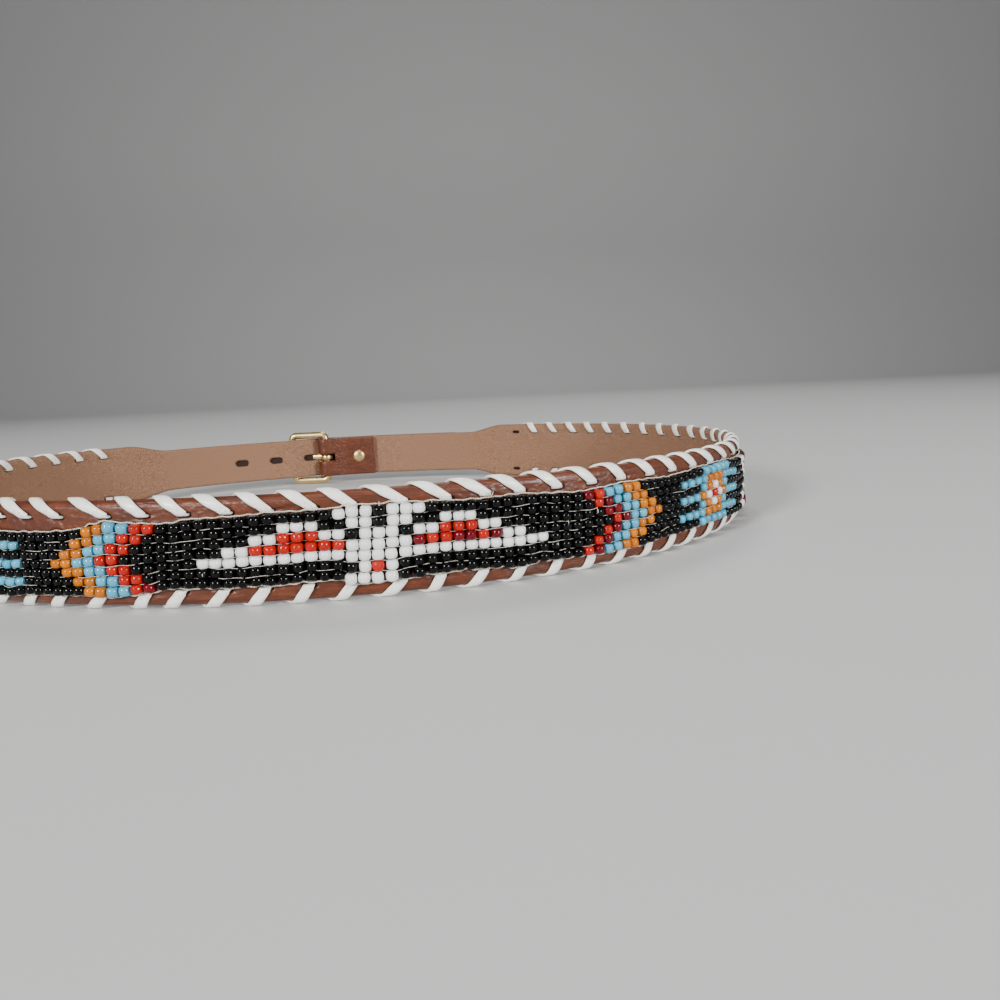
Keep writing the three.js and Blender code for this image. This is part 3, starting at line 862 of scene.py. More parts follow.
@dataclass
class LeatherStrap:
    """The backing strap, with its slots, the bed of the beadwork and both plain ends."""

    sizes: Sizes
    loop: Loop
    bed_depth: float = 0.8
    notch_shift: float = 0.15
    slot_half_length: float = 1.6
    slot_half_height: float = 0.58
    slot_depth: float = 1.3
    pucker: float = 0.25
    end_half: float = 8.7
    end_thickness_half: float = 1.0
    taper: Pair = (271.84, 287.84)
    end_rounding: float = 0.9
    rounding_share: float = 0.3
    rounding_turn: Pair = (-75, 75)
    rounding_points: int = 7
    tip_length: float = 67.2
    tip_rounding: float = 8.0
    tip_half: float = 2.6
    notch_radius: float = 3.95
    notch_half: float = 1.5
    hole_crossing: float = 7.81
    hole_spacing: float = 15.0
    hole_half: Pair = (2.88, 1.5)
    free_run: tuple[Pair, ...] = (
        (-67.2, 2.6), (-34.1, 2.6), (-24.2, 4.25), (-9.9, 4.25), (0, 5.1), (1.6, 4.84), (15, 0.4), (26, 0),
        (34.1, 0),
    )
    fold_run: tuple[Pair, ...] = ((-34.1, 0), (-24.2, 1.15), (-9.9, 1.15), (0, 2.8))
    run_step: float = 0.1
    run_window: int = 41
    bend_radius: float = 2.8
    bend_points: int = 25
    fold_length: float = 22.0
    fold_points: int = 24
    tip_points: int = 14
    free_steps: Triple = (8.6, 42.0, 0.6)
    plain_step: float = 1.2
    folded_step: float = 1.0
    plain_levels: tuple[float, ...] = (-2.3, -1.8, -1.5, -1.25, -1, -0.6, 0, 0.6, 1, 1.25, 1.5, 1.8, 2.3)
    bed_levels: tuple[float, ...] = (-0.17, 0, 0.18, 2.6, 6.6, 10.6)
    back_levels: tuple[float, float, int] = (5.6, 19.4, 7)
    bed_ends: Pair = (265.6, 264.9)
    slot_rim: Pair = (1.12, 0.82)
    hole_rim: Pair = (1.06, 0.84)
    pucker_reach: Pair = (2.3, 1.3)
    sway: float = 0.05
    lumps: float = 0.09
    slot_levels: tuple[float, ...] = (-1.05, -0.75, -0.55, -0.35, 0, 0.35, 0.55, 0.75)
    slot_stations: tuple[float, ...] = (
        -2.35, -1.9, -1.65, -1.4, -1.15, -0.6, 0.15, 0.9, 1.45, 1.7, 1.95, 2.2, 2.45, 3.3, 4.3, 5.3, 6.2,
    )

    def stations(self) -> np.ndarray:
        """Where the strap's sections are, from the free tip to the notch in the fold.

        Returns:
            Positions along the belt, close together at slots, holes and the tip.
        """
        heel, half = self.sizes.heel, self.taper[0] - 2
        tip = -heel - self.tip_length
        start, end, step = self.free_steps
        free = np.concatenate(
            [
                tip + self.tip_rounding * (1 - np.cos(np.linspace(0, np.pi / 2, self.tip_points))),
                np.arange(tip + start, -heel + end, step),
                np.arange(-heel + end + 1, -half, self.plain_step),
            ]
        )
        slots = self.sizes.slot_phase + self.sizes.pitch * self.sizes.numbers()
        laced = (slots[:, None] + np.array(self.slot_stations)[None, :]).ravel()
        folded = np.arange(half + 2 * self.plain_step, heel - self.notch_radius, self.folded_step)
        return np.concatenate([free, laced, folded, [heel - self.notch_radius]])

    def off_line(self, along: np.ndarray) -> np.ndarray:
        """How far the strap's middle stands off the loop, at its two ends.

        Args:
            along: positions along the belt.

        Returns:
            The distance out, from two tables of points whose corners are rounded over 3 mm.
        """
        fine = np.arange(-430, 360, self.run_step)
        free = np.array(self.free_run) + np.array([-self.sizes.heel, 0])
        fold = np.array(self.fold_run) + np.array([self.sizes.heel, 0])
        run = np.concatenate([free, fold])
        window = np.hanning(self.run_window)
        out = np.convolve(np.interp(fine, run[:, 0], run[:, 1]), window / window.sum(), "same")
        return np.interp(along, fine, out)

    def levels(self, along: np.ndarray, outer: bool) -> np.ndarray:
        """Heights of a face's points at each station.

        Args:
            along: positions along the belt.
            outer: True for the outer face, which has the bed.

        Returns:
            One row of ascending heights for each station. Laced and plain rows blend over the taper.
        """
        slot = np.array(self.slot_levels)
        low_slot = self.sizes.height - self.sizes.slot_up
        start, end = low_slot + slot[0] - 0.5, self.sizes.slot_up - slot[0] + 0.5
        low = np.concatenate([[start], low_slot + slot])
        high = np.concatenate([self.sizes.slot_up - slot[::-1], [end]])
        centre = self.sizes.middle + np.array(self.plain_levels)
        ones = np.ones((len(along), 1))
        if outer:
            wall = self.bed_top(along + self.sizes.skew(along, self.sizes.bed_high))[:, None]
            bed = ones * (self.sizes.bed_low + np.array(self.bed_levels))
            between = [bed, wall - 0.2, wall, wall + 0.15, wall * 0.5 + 9.9]
        else:
            first, last, count = self.back_levels
            between = [ones * np.linspace(first, last, count)]
        laced = np.concatenate([ones * low, *between, ones * high], axis=1)
        spare = laced.shape[1] - len(centre)
        reach = self.end_half - self.end_rounding
        below = np.linspace(self.sizes.middle - reach, centre[0] - 0.8, spare // 2)
        above = np.linspace(centre[-1] + 0.8, self.sizes.middle + reach, spare - spare // 2)
        plain = ones * np.concatenate([below, centre, above])
        share = smooth_step(self.taper[1], self.taper[0], np.abs(along))[:, None]
        return laced * share + plain * (1 - share)

    def bed_top(self, along: np.ndarray) -> np.ndarray:
        """Height of the bed's upper wall, just above the beads."""
        return np.minimum(self.sizes.bead_edges(along)[1] + 0.05, self.sizes.bed_high)

    def in_bed(self, along: np.ndarray, up: np.ndarray) -> np.ndarray:
        """How far a point lies inside the beadwork's bed.

        Args:
            along: places along the belt.
            up: heights at those places.

        Returns:
            1 inside the bed, easing to 0 over its walls.
        """
        wall, floor = self.bed_top(along), self.sizes.bed_low
        inside = smooth_step(wall + 0.12, wall - 0.15, up) * smooth_step(floor - 0.12, floor + 0.13, up)
        return inside * smooth_step(*self.bed_ends, np.abs(along))

    def pits(self, along: np.ndarray, up: np.ndarray) -> np.ndarray:
        """Where the slots and the prong's holes are.

        A slot is where the fourth-power sum of its two shares, of half its length and half its height, is
        under 1. A hole is the same with squares at its two rounded ends.

        Args:
            along: positions along the belt.
            up: heights above the floor.

        Returns:
            1 inside a slot or a hole, easing to 0 at its rim.
        """
        sizes = self.sizes
        beside = (sizes.beside_slot(along, up) - self.notch_shift) / self.slot_half_length
        from_row = (np.abs(up - sizes.middle) - (sizes.slot_up - sizes.middle)) / self.slot_half_height
        slot = (beside**4 + from_row**4) ** 0.25
        first = -sizes.heel + self.hole_crossing
        number = np.clip(np.round((along - first) / self.hole_spacing), -2, 2)
        shift = self.hole_half[0] - self.hole_half[1]
        past = np.maximum(np.abs(along - first - number * self.hole_spacing) - shift, 0)
        hole = np.hypot(past, up - sizes.middle) / self.hole_half[1]
        return np.maximum(smooth_step(*self.slot_rim, slot), smooth_step(*self.hole_rim, hole))

    def relief(self, along: np.ndarray, up: np.ndarray, outer: bool) -> np.ndarray:
        """How deep each point lies below its flat face.

        Args:
            along: positions along the belt.
            up: heights above the floor.
            outer: True for the outer face.

        Returns:
            The sum of the puckers round the slots, a slow sway, low lumps and the bed, or the slots and holes
            where they are deeper.
        """
        sizes = self.sizes
        beside = sizes.beside_slot(along, up)
        from_row = np.abs(up - sizes.middle) - (sizes.slot_up - sizes.middle)
        lengthwise, upright = self.pucker_reach
        depth = self.pucker * np.exp(-((beside / lengthwise) ** 2) - (from_row / upright) ** 2)
        depth = depth + self.sway * waves(along + 3 * up, (13.0, 29.0, 47.0), 5)
        slanted, steep = along - 1.3 * up, up + 0.4 * along
        depth = depth + self.lumps * waves(slanted, (3.1, 4.7, 7.9), 6) * waves(steep, (2.3, 3.7), 7)
        depth = np.where(np.abs(along) < self.taper[0], depth, 0.0)
        if outer:
            depth = depth + self.bed_depth * self.in_bed(along, up)
        thickness = np.where(np.abs(along) < self.taper[0], self.slot_depth, self.end_thickness_half - 0.08)
        return np.maximum(depth, self.pits(along, up) * thickness)

    def section_rings(
        self, along: np.ndarray, path: np.ndarray, low: np.ndarray, high: np.ndarray, half: np.ndarray
    ) -> tuple[np.ndarray, dict[str, np.ndarray]]:
        """The strap's sections, each square to its run.

        A section goes up the inner face, over the upper edge in most of a half ellipse, down the outer face
        and round the lower edge.

        Args:
            along: the stations, for the relief and the levels.
            path: along and out of the strap's middle at each station.
            low: height of the lower edge.
            high: height of the upper edge.
            half: half of the leather's thickness.

        Returns:
            The rings in belt coordinates and their marks.
        """
        heading = unit(np.gradient(path, axis=0))
        laced = smooth_step(self.taper[1], self.taper[0], np.abs(along))[:, None]
        rounding = self.end_rounding + (self.sizes.edge_round - self.end_rounding) * laced
        rounding = np.minimum(rounding, (high - low)[:, None] * self.rounding_share)
        turn = np.radians(np.linspace(*self.rounding_turn, self.rounding_points))
        inner, outer = self.levels(along, False), self.levels(along, True)[:, ::-1]
        floor, roof = low[:, None] + rounding, high[:, None] - rounding
        inner = np.clip(inner, floor, roof)
        outer = np.clip(outer, floor, roof)
        up = np.concatenate(
            [inner, roof + rounding * np.cos(turn), outer, floor - rounding * np.cos(turn)], axis=1
        )
        thick = half[:, None]
        skew = self.sizes.skew(along[:, None], up)
        at = along[:, None] + skew
        first, last = inner.shape[1], inner.shape[1] + len(turn) + outer.shape[1]
        off = np.concatenate(
            [
                -thick + self.relief(at[:, :first], inner, False),
                thick * np.sin(turn),
                thick - self.relief(at[:, first + len(turn) : last], outer, True),
                thick * np.sin(turn[::-1]),
            ],
            axis=1,
        )
        rings = np.stack(
            [path[:, :1] + skew - off * heading[:, 1:], up, path[:, 1:] + off * heading[:, :1]], axis=-1
        )
        edge = smooth_step(-0.6, 0.6, np.maximum(up - roof, floor - up) / rounding)
        outside = smooth_step(0, 0.2, off / thick)
        bed = outside * self.in_bed(at, up)
        # The pit and bed marks show the leather where to paint shade into the slots, holes and bed.
        marks = {"side": off / thick, "pit": self.pits(at, up), "edge": edge, "bed": bed}
        return rings, marks

    def build(self) -> bpy.types.Object:
        """Makes the whole strap.

        Returns:
            The dressed piece.
        """
        sizes = self.sizes
        shape = Shape(self.loop)
        along = self.stations()
        laced = smooth_step(self.taper[1], self.taper[0], np.abs(along))
        from_tip = np.clip((along + sizes.heel + self.tip_length) / self.tip_rounding, 0, 1)
        plain_half = self.tip_half + (self.end_half - self.tip_half) * np.sqrt(1 - (1 - from_tip) ** 2)
        half_height = plain_half + (sizes.leather_top - sizes.middle - plain_half) * laced
        half = self.end_thickness_half + (sizes.leather_half - self.end_thickness_half) * laced
        path = np.stack([along, self.off_line(along)], axis=1)
        rings, marks = self.section_rings(
            along, path, sizes.middle - half_height, sizes.middle + half_height, half
        )
        shape.add_sweep(rings, **marks)
        self.add_fold(shape, path[-1])
        piece = shape.write("leather", LeatherFinish().material(), 60)
        fit_to_body(piece, "leather", "leather_strap")
        return piece

    def add_fold(self, shape: Shape, start: np.ndarray) -> None:
        """Adds the two bands round the heel bar, beside the prong, and the inner layer of the fold.

        Args:
            shape: the strap's surfaces.
            start: along and out of the point where the notch begins.
        """
        sizes = self.sizes
        turn = np.linspace(np.pi / 2, -np.pi / 2, self.bend_points)
        arc = self.bend_radius * np.stack([np.cos(turn), np.sin(turn)], axis=1) + np.array([sizes.heel, 0])
        end = start * np.array([1, -1])
        band = np.concatenate([start[None], arc, end[None]])
        back, layer = self.fold_run[2]
        inner_along = np.linspace(end[0], sizes.heel - self.fold_length, self.fold_points)
        inner_out = np.interp(inner_along, [sizes.heel + back, end[0]], [-layer, end[1]])
        low, high = sizes.middle - self.end_half, sizes.middle + self.end_half
        runs = [
            (band, low, sizes.middle - self.notch_half),
            (band, sizes.middle + self.notch_half, high),
            (np.stack([inner_along, inner_out], axis=1), low, high),
        ]
        for path, bottom, top in runs:
            even = np.ones(len(path))
            plain = even * (sizes.heel - 40)
            rings, marks = self.section_rings(
                plain, path, even * bottom, even * top, even * self.end_thickness_half
            )
            shape.add_sweep(rings, **marks)


# Lacing


@dataclass
class Lacing:
    """The flat strip whipped round one edge."""

    sizes: Sizes
    loop: Loop
    lower: bool
    half_thickness: float = 0.35
    half_width: float = 1.25
    half_in_slot: float = 1.3
    open_ahead: Pair = (0.0, 0.7)
    open_behind: Pair = (0.1, 2.0)
    front_shift: float = 6.0
    bend: float = 0.5
    crest_seed: int = 17
    width_seed: int = 3
    width_spread: float = 0.03
    smoothing: int = 5
    dirt_and_shade_reach: Pair = (3.0, 0.2)
    upper_crests: tuple[float, ...] = (
        -2.1, -2.8, -1.2, 0.8, 0.45, -0.15, -0.35, -0.55, -1.5, -0.9, -0.45, -0.8, -1.2, -1.0, -0.5, -0.45,
        -0.8, -1.65, -2.7, -3.5, -3.5, -2.8, -2.0, -1.2, -0.5,
    )
    lower_crests: tuple[float, ...] = (
        0.35, -0.9, -0.45, 1.7, -0.3, -0.4, -0.6, -0.15, -0.6, 0.1, 1.0, 0.45, 1.1, 1.2, 1.5, 0.55, 0.9, -1.0,
        -2.0, -1.5, -1.0, -0.6, -0.3,
    )
    section: tuple[Pair, ...] = (
        (-1, -0.1), (-0.9, -0.75), (-0.4, -0.95), (0.4, -0.95), (0.9, -0.75),
        (1, -0.1), (0.93, 0.55), (0.62, 0.9), (0, 1), (-0.62, 0.9), (-0.93, 0.55),
    )

    def track(self) -> np.ndarray:
        """One turn seen along the belt, from the middle of a slot over the edge to the next slot's middle.

        Straight out of the slot, round a quarter circle, up the face, over the edge on half an ellipse,
        and down the back in the same way.

        Returns:
            Height and distance out of each point.
        """
        slot, bend = self.sizes.slot_up, self.bend
        out = self.sizes.leather_half + self.half_thickness
        quarter = np.linspace(0, np.pi / 2, 5)
        mouth = np.stack([slot + bend * (1 - np.cos(quarter)), out - bend + bend * np.sin(quarter)], axis=1)
        crown_up = self.sizes.leather_top - self.sizes.edge_round
        sides = np.stack([np.linspace(slot + bend + 0.3, crown_up, 4), np.full(4, out)], axis=1)
        over = np.linspace(0, np.pi, 17)[1:-1]
        rise = self.sizes.height - self.half_thickness - crown_up
        crest = np.stack([crown_up + rise * np.sin(over), out * np.cos(over)], axis=1)
        front = np.concatenate([[[slot, 0.0]], mouth, sides])
        back = front[::-1] * np.array([1, -1])
        return np.concatenate([front, crest, back])

    def build(self) -> bpy.types.Object:
        """Makes the whole lacing of this edge.

        Along the belt, a turn moves evenly from its slot to its crest and evenly on to the next slot. The
        strip's edges are the path moved along the belt, so its width there is its own width over the cosine
        of its slant. It narrows into the slot, sooner on the edge that is ahead.

        Returns:
            The dressed piece.
        """
        sizes = self.sizes
        track = self.track()
        steps = np.linalg.norm(np.diff(track, axis=0), axis=1)
        run = np.concatenate([[0], np.cumsum(steps)])
        crest = run[-1] / 2
        start, end = run[3], run[-4]
        rise = np.clip((run - start) / (crest - start), 0, 1)
        fall = np.clip((run - crest) / (end - crest), 0, 1)
        number = sizes.numbers()[:0:-1]
        nominal = sizes.slot_phase + sizes.pitch * number
        leaving, entering = sizes.slot_shift(number, self.lower), sizes.slot_shift(number - 1, self.lower)
        crests = self.lower_crests if self.lower else self.upper_crests
        top = sizes.measured(number, crests, self.crest_seed + self.lower)
        slots, nexts = nominal + leaving, nominal - sizes.pitch + entering
        tops = nominal - self.front_shift + top
        along = slots[:, None] * (1 - rise) + tops[:, None] * (rise - fall) + nexts[:, None] * fall
        slant = np.abs(np.gradient(along, run, axis=1))
        kernel = np.ones(self.smoothing) / self.smoothing
        side = self.smoothing // 2
        slant = np.stack([np.convolve(np.pad(row, side, mode="edge"), kernel, "valid") for row in slant])
        gap = np.minimum(run - start, end - run)
        rng = np.random.default_rng(self.width_seed + self.lower)
        jitter = 1 + self.width_spread * rng.standard_normal(len(number))
        full = self.half_width * jitter[:, None] * np.hypot(1, slant)
        ahead = self.half_in_slot + (full - self.half_in_slot) * smooth_step(*self.open_ahead, gap)
        behind = self.half_in_slot + (full - self.half_in_slot) * smooth_step(*self.open_behind, gap)
        front = run < crest
        ahead, behind = np.where(front, ahead, behind), np.where(front, behind, ahead)
        along = along + (ahead - behind) / 2
        half = (ahead + behind) / 2
        tangent = unit(np.gradient(track, axis=0))
        normal = np.stack([-tangent[:, 1], tangent[:, 0]], axis=1)
        turns, stations = along.shape
        section = np.array(self.section)
        width = half[:, :, None] * section[None, None, :, 0]
        lift = self.half_thickness * section[None, None, :, 1]
        up = track[None, :, None, 0] - lift * normal[None, :, None, 0]
        out = track[None, :, None, 1] - lift * normal[None, :, None, 1]
        along = np.broadcast_to(along[:, :, None] - width, (turns, stations, len(section)))
        up = np.broadcast_to(up, along.shape)
        up = self.sizes.height - up if self.lower else up
        rings = np.stack([along, up, np.broadcast_to(out, along.shape)], axis=-1)
        rings = rings.reshape(turns * stations, len(section), 3)
        # Closeness to the slot, for the dirt and painted shade there.
        mouth = smooth_step(*self.dirt_and_shade_reach, gap)
        mouth = np.broadcast_to(np.tile(mouth, turns)[:, None], rings.shape[:2])
        rim = np.broadcast_to(np.abs(section[:, 0]) ** 3, rings.shape[:2])
        shape = Shape(self.loop)
        keep = np.ones(turns * stations, bool)
        keep[stations::stations] = False
        shape.add_sweep(rings[keep], mouth=mouth[keep], rim=rim[keep])
        name = "lacing_lower" if self.lower else "lacing_upper"
        piece = shape.write(name, LacingFinish().material(), 70)
        fit_to_body(piece, "lacing", "lace_bottom" if self.lower else "lace_top")
        return piece


# Beadwork


class BeadColour(Enum):
    """The six bead colours, by their letters in the chart."""

    BLACK = "."
    WHITE = "W"
    RED = "R"
    DARK_RED = "D"
    BLUE = "L"
    ORANGE = "O"


BEAD_FINISHES = {
    BeadColour.BLACK: BeadFinish("black_glass", (0.002, 0.002, 0.002), (0.001, 0.001, 0.001), 0.03, 0.2),
    BeadColour.WHITE: BeadFinish("white_glass", (0.78, 0.78, 0.77), (0.68, 0.68, 0.67), 0.15, 0.5),
    BeadColour.RED: BeadFinish("red_glass", (0.43, 0.009, 0.001), (0.3, 0.005, 0.001), 0.1, 0.35),
    BeadColour.DARK_RED: BeadFinish("dark_red_glass", (0.15, 0.002, 0.006), (0.08, 0.001, 0.003), 0.08, 0.3),
    BeadColour.BLUE: BeadFinish("blue_glass", (0.09, 0.36, 0.5), (0.06, 0.27, 0.4), 0.14, 0.45),
    BeadColour.ORANGE: BeadFinish("orange_glass", (0.52, 0.15, 0.001), (0.38, 0.095, 0.001), 0.13, 0.4),
}


@dataclass
class Chart:
    """The loom chart: which colour each bead has, row 0 at the top and column 0 at the far left."""

    rows: int = 7
    each_way: int = 91
    bird: tuple[str, ...] = (
        "..........WWW.WWW..........",
        "......WWW..WW.WW..WWW......",
        "....WWRRRWW.WWW.WWRRRWW....",
        "..WWRRRRRRRWWWWWDRRDDRDWW..",
        "WWWWWWWWWWWWWWWWWWWWWWWWWWW",
        "............WRW............",
        "...........WWWW............",
    )
    rosette: tuple[str, ...] = ("...LLLLL...", "LLLLOOOLLLL", "...LOWOL...", "LLLOWRWOLLL")
    right_reds: tuple[str, ...] = ("DR", "RD", "DD", "RD", "RD", "RD", "RD")
    left_reds: tuple[str, ...] = ("RR", "RR", "RR", "RR", "RR", "RR", "DR")
    first_chevron: int = 17
    second_chevron: int = 42
    rosette_column: int = 34
    second_bird: int = 65

    def put(self, chart: np.ndarray, row: int, column: int, letters: str) -> None:
        """Writes letters into a row.

        Args:
            chart: the chart's letters.
            row: the row, from the top.
            column: where the first letter goes, from the belt's middle.
            letters: one for each bead.
        """
        start = column + self.each_way
        chart[row, start : start + len(letters)] = list(letters)

    def letters(self) -> np.ndarray:
        """Works out the whole chart.

        Returns:
            One letter for each row and column.
        """
        chart = np.full((self.rows, 2 * self.each_way + 1), ".")
        rosette = self.rosette + self.rosette[-2::-1]
        for row in range(self.rows):
            bird = self.bird[row]
            point = 3 - abs(row - 3)
            for centre in (-self.second_bird, 0, self.second_bird):
                self.put(chart, row, centre - len(bird) // 2, bird)
            for side in (-self.rosette_column, self.rosette_column):
                self.put(chart, row, side - 5, rosette[row])
            start = self.first_chevron + point
            self.put(chart, row, start, self.right_reds[row] + "LLOO")
            self.put(chart, row, -start - 5, (self.left_reds[row] + "LLOO")[::-1])
            start = self.second_chevron + point
            for letters, column in (("WWDD", start), ("DDWW", 2 * self.second_bird - start - 3)):
                self.put(chart, row, column, letters)
                self.put(chart, row, -column - 3, letters[::-1])
        return chart


@dataclass
class Beadwork:
    """The single beads of the woven band, one piece for each colour."""

    sizes: Sizes
    loop: Loop
    sides: int = 10
    radius: float = 1.4
    half_length: float = 1.08
    profile: tuple[Pair, ...] = (
        (0, -0.82), (0.62, -1.0), (0.91, -0.7), (1, 0), (0.91, 0.7), (0.62, 1.0), (0, 0.82),
    )
    even_height: float = 2.257
    place_seed: int = 8
    place_spread: Triple = (0.07, 0.05, 0.05)
    size_seed: int = 21
    radius_spread: float = 0.02
    length_spread: float = 0.03
    lean_spread: Pair = (0.045, 0.05)
    width_range: Pair = (0.85, 1.06)
    tallest: float = 1.09
    rim_lift: float = 0.45
    row_lift: tuple[float, ...] = (0.0, -0.03, 0.02, 0.04, 0.0, 0.05, 0.05)
    warp_columns: tuple[float, ...] = (
        -91, -40, -29, -25, -22, -20, -17, -13, -10, -5, -3, 0, 5, 7, 10, 13, 17, 18, 19, 20, 22, 24, 25, 29,
        34, 40, 91,
    )
    warp_shifts: tuple[float, ...] = (
        0, 3.4, 3.0, 1.85, 1.55, 1.25, 1.05, 1.0, 0.72, 0.63, 0.4, 0, -0.2, -0.4, -0.75, -1.0, -0.85, -0.85,
        -1.05, -1.35, -1.88, -2.2, -2.65, -4.6, -3.6, -3.2, 0,
    )
    lean_columns: tuple[float, ...] = (
        -91, -36, -29, -25, -22, -17, -10, -5, 0, 3, 5, 10, 17, 19, 20, 22, 29, 34, 40, 91,
    )
    lean_shifts: tuple[float, ...] = (
        0.1, 0, -0.4, 0, 0.4, 0.53, 0.35, 0.45, 0.7, 0.4, 0.3, 0.1, 0.2, 0.35, 0.3, 0.55, 0.8, 1.1, 0.3, 0.1,
    )

    def places(self, chart: Chart) -> tuple[np.ndarray, np.ndarray, np.ndarray]:
        """Where each bead's middle is.

        Args:
            chart: the loom chart.

        Returns:
            Belt coordinates by row and column, and each bead's share of an even row's height and of an even
            column's width.
        """
        sizes = self.sizes
        rng = np.random.default_rng(self.place_seed)
        columns = np.arange(-chart.each_way, chart.each_way + 1)
        shape = (chart.rows, len(columns))
        middle_row = (chart.rows - 1) / 2
        from_top = np.arange(chart.rows)[:, None] + np.zeros(shape)
        line = columns * sizes.bead_pitch + np.interp(columns, self.warp_columns, self.warp_shifts)
        lean = np.interp(columns, self.lean_columns, self.lean_shifts)
        slant = lean * (1 - from_top / middle_row)
        along = line[None, :] + slant + rng.normal(0, self.place_spread[0], shape)
        low, high = sizes.bead_edges(line)
        height = ((high - low) / chart.rows)[None, :] + np.zeros(shape)
        up = high[None, :] - (from_top + 0.5) * height + rng.normal(0, self.place_spread[1], shape)
        above = smooth_step(sizes.bed_high - 1.6, sizes.bed_high - 0.3, up)
        below = smooth_step(sizes.bed_low + 1.2, sizes.bed_low + 0.1, up)
        out = sizes.bead_out + np.array(self.row_lift)[:, None] + self.rim_lift * np.maximum(above, below)
        out = out + rng.normal(0, self.place_spread[2], shape)
        width = np.gradient(line)[None, :] + np.zeros(shape)
        return np.stack([along, up, out], axis=-1), height / self.even_height, width / sizes.bead_pitch

    def bead(self) -> tuple[np.ndarray, np.ndarray, np.ndarray]:
        """One bead with its hole upright: its profile turned round the hole.

        Returns:
            Points from pole to pole, quads and the triangles round both poles.
        """
        profile = np.array(self.profile)[1:-1]
        x, out, up = turned(profile, circle(self.sides, start=0.5))
        rings = np.stack([x, up, out], axis=-1)
        poles = np.array([[0, self.profile[0][1], 0], [0, self.profile[-1][1], 0]])
        points = np.concatenate([rings.reshape(-1, 3), poles])
        count = len(profile)
        first = np.arange(self.sides)
        after = (first + 1) % self.sides
        bottom = np.stack([np.full(self.sides, count * self.sides), after, first], axis=1)
        base = (count - 1) * self.sides
        top = np.stack([np.full(self.sides, count * self.sides + 1), base + first, base + after], axis=1)
        return points, grid_quads(count, self.sides), np.concatenate([bottom, top])

    def build(self, chart: Chart) -> list[bpy.types.Object]:
        """Makes the beads.

        A bead's point is its middle plus the unit bead's point, scaled by the bead's own radius and half
        length and leant by two small angles.

        Args:
            chart: the loom chart.

        Returns:
            One dressed piece for each colour.
        """
        middles, heights, widths = self.places(chart)
        letters = chart.letters()
        rng = np.random.default_rng(self.size_seed)
        count = letters.size
        points, quads, triangles = self.bead()
        radius = self.radius * rng.normal(1, self.radius_spread, count)
        wide = radius * np.clip(widths.ravel(), *self.width_range)
        length = self.half_length * np.minimum(heights.ravel(), self.tallest)
        length = length * rng.normal(1, self.length_spread, count)
        lean, nod = (rng.normal(0, spread, (count, 1)) for spread in self.lean_spread)
        scaled = points[None] * np.stack([wide, length, radius], axis=1)[:, None]
        x, up, out = scaled[..., 0], scaled[..., 1], scaled[..., 2]
        moved = np.stack([x + up * lean, up - x * lean - out * nod, out + up * nod], axis=-1)
        moved = moved + middles.reshape(-1, 1, 3)
        tones = rng.uniform(0, 1, count)
        pieces = []
        for colour in BeadColour:
            chosen = np.flatnonzero(letters.ravel() == colour.value)
            shift = (np.arange(len(chosen)) * len(points))[:, None, None]
            shape = Shape(self.loop)
            shape.add(
                moved[chosen].reshape(-1, 3),
                (quads[None] + shift).reshape(-1, 4),
                (triangles[None] + shift).reshape(-1, 3),
                tone=np.repeat(tones[chosen], len(points)),
            )
            name = colour.name.lower() + "_beads"
            piece = shape.write(name, BEAD_FINISHES[colour].material(), 80)
            fit_to_body(piece, name, "beadwork_band")
            pieces.append(piece)
        return pieces


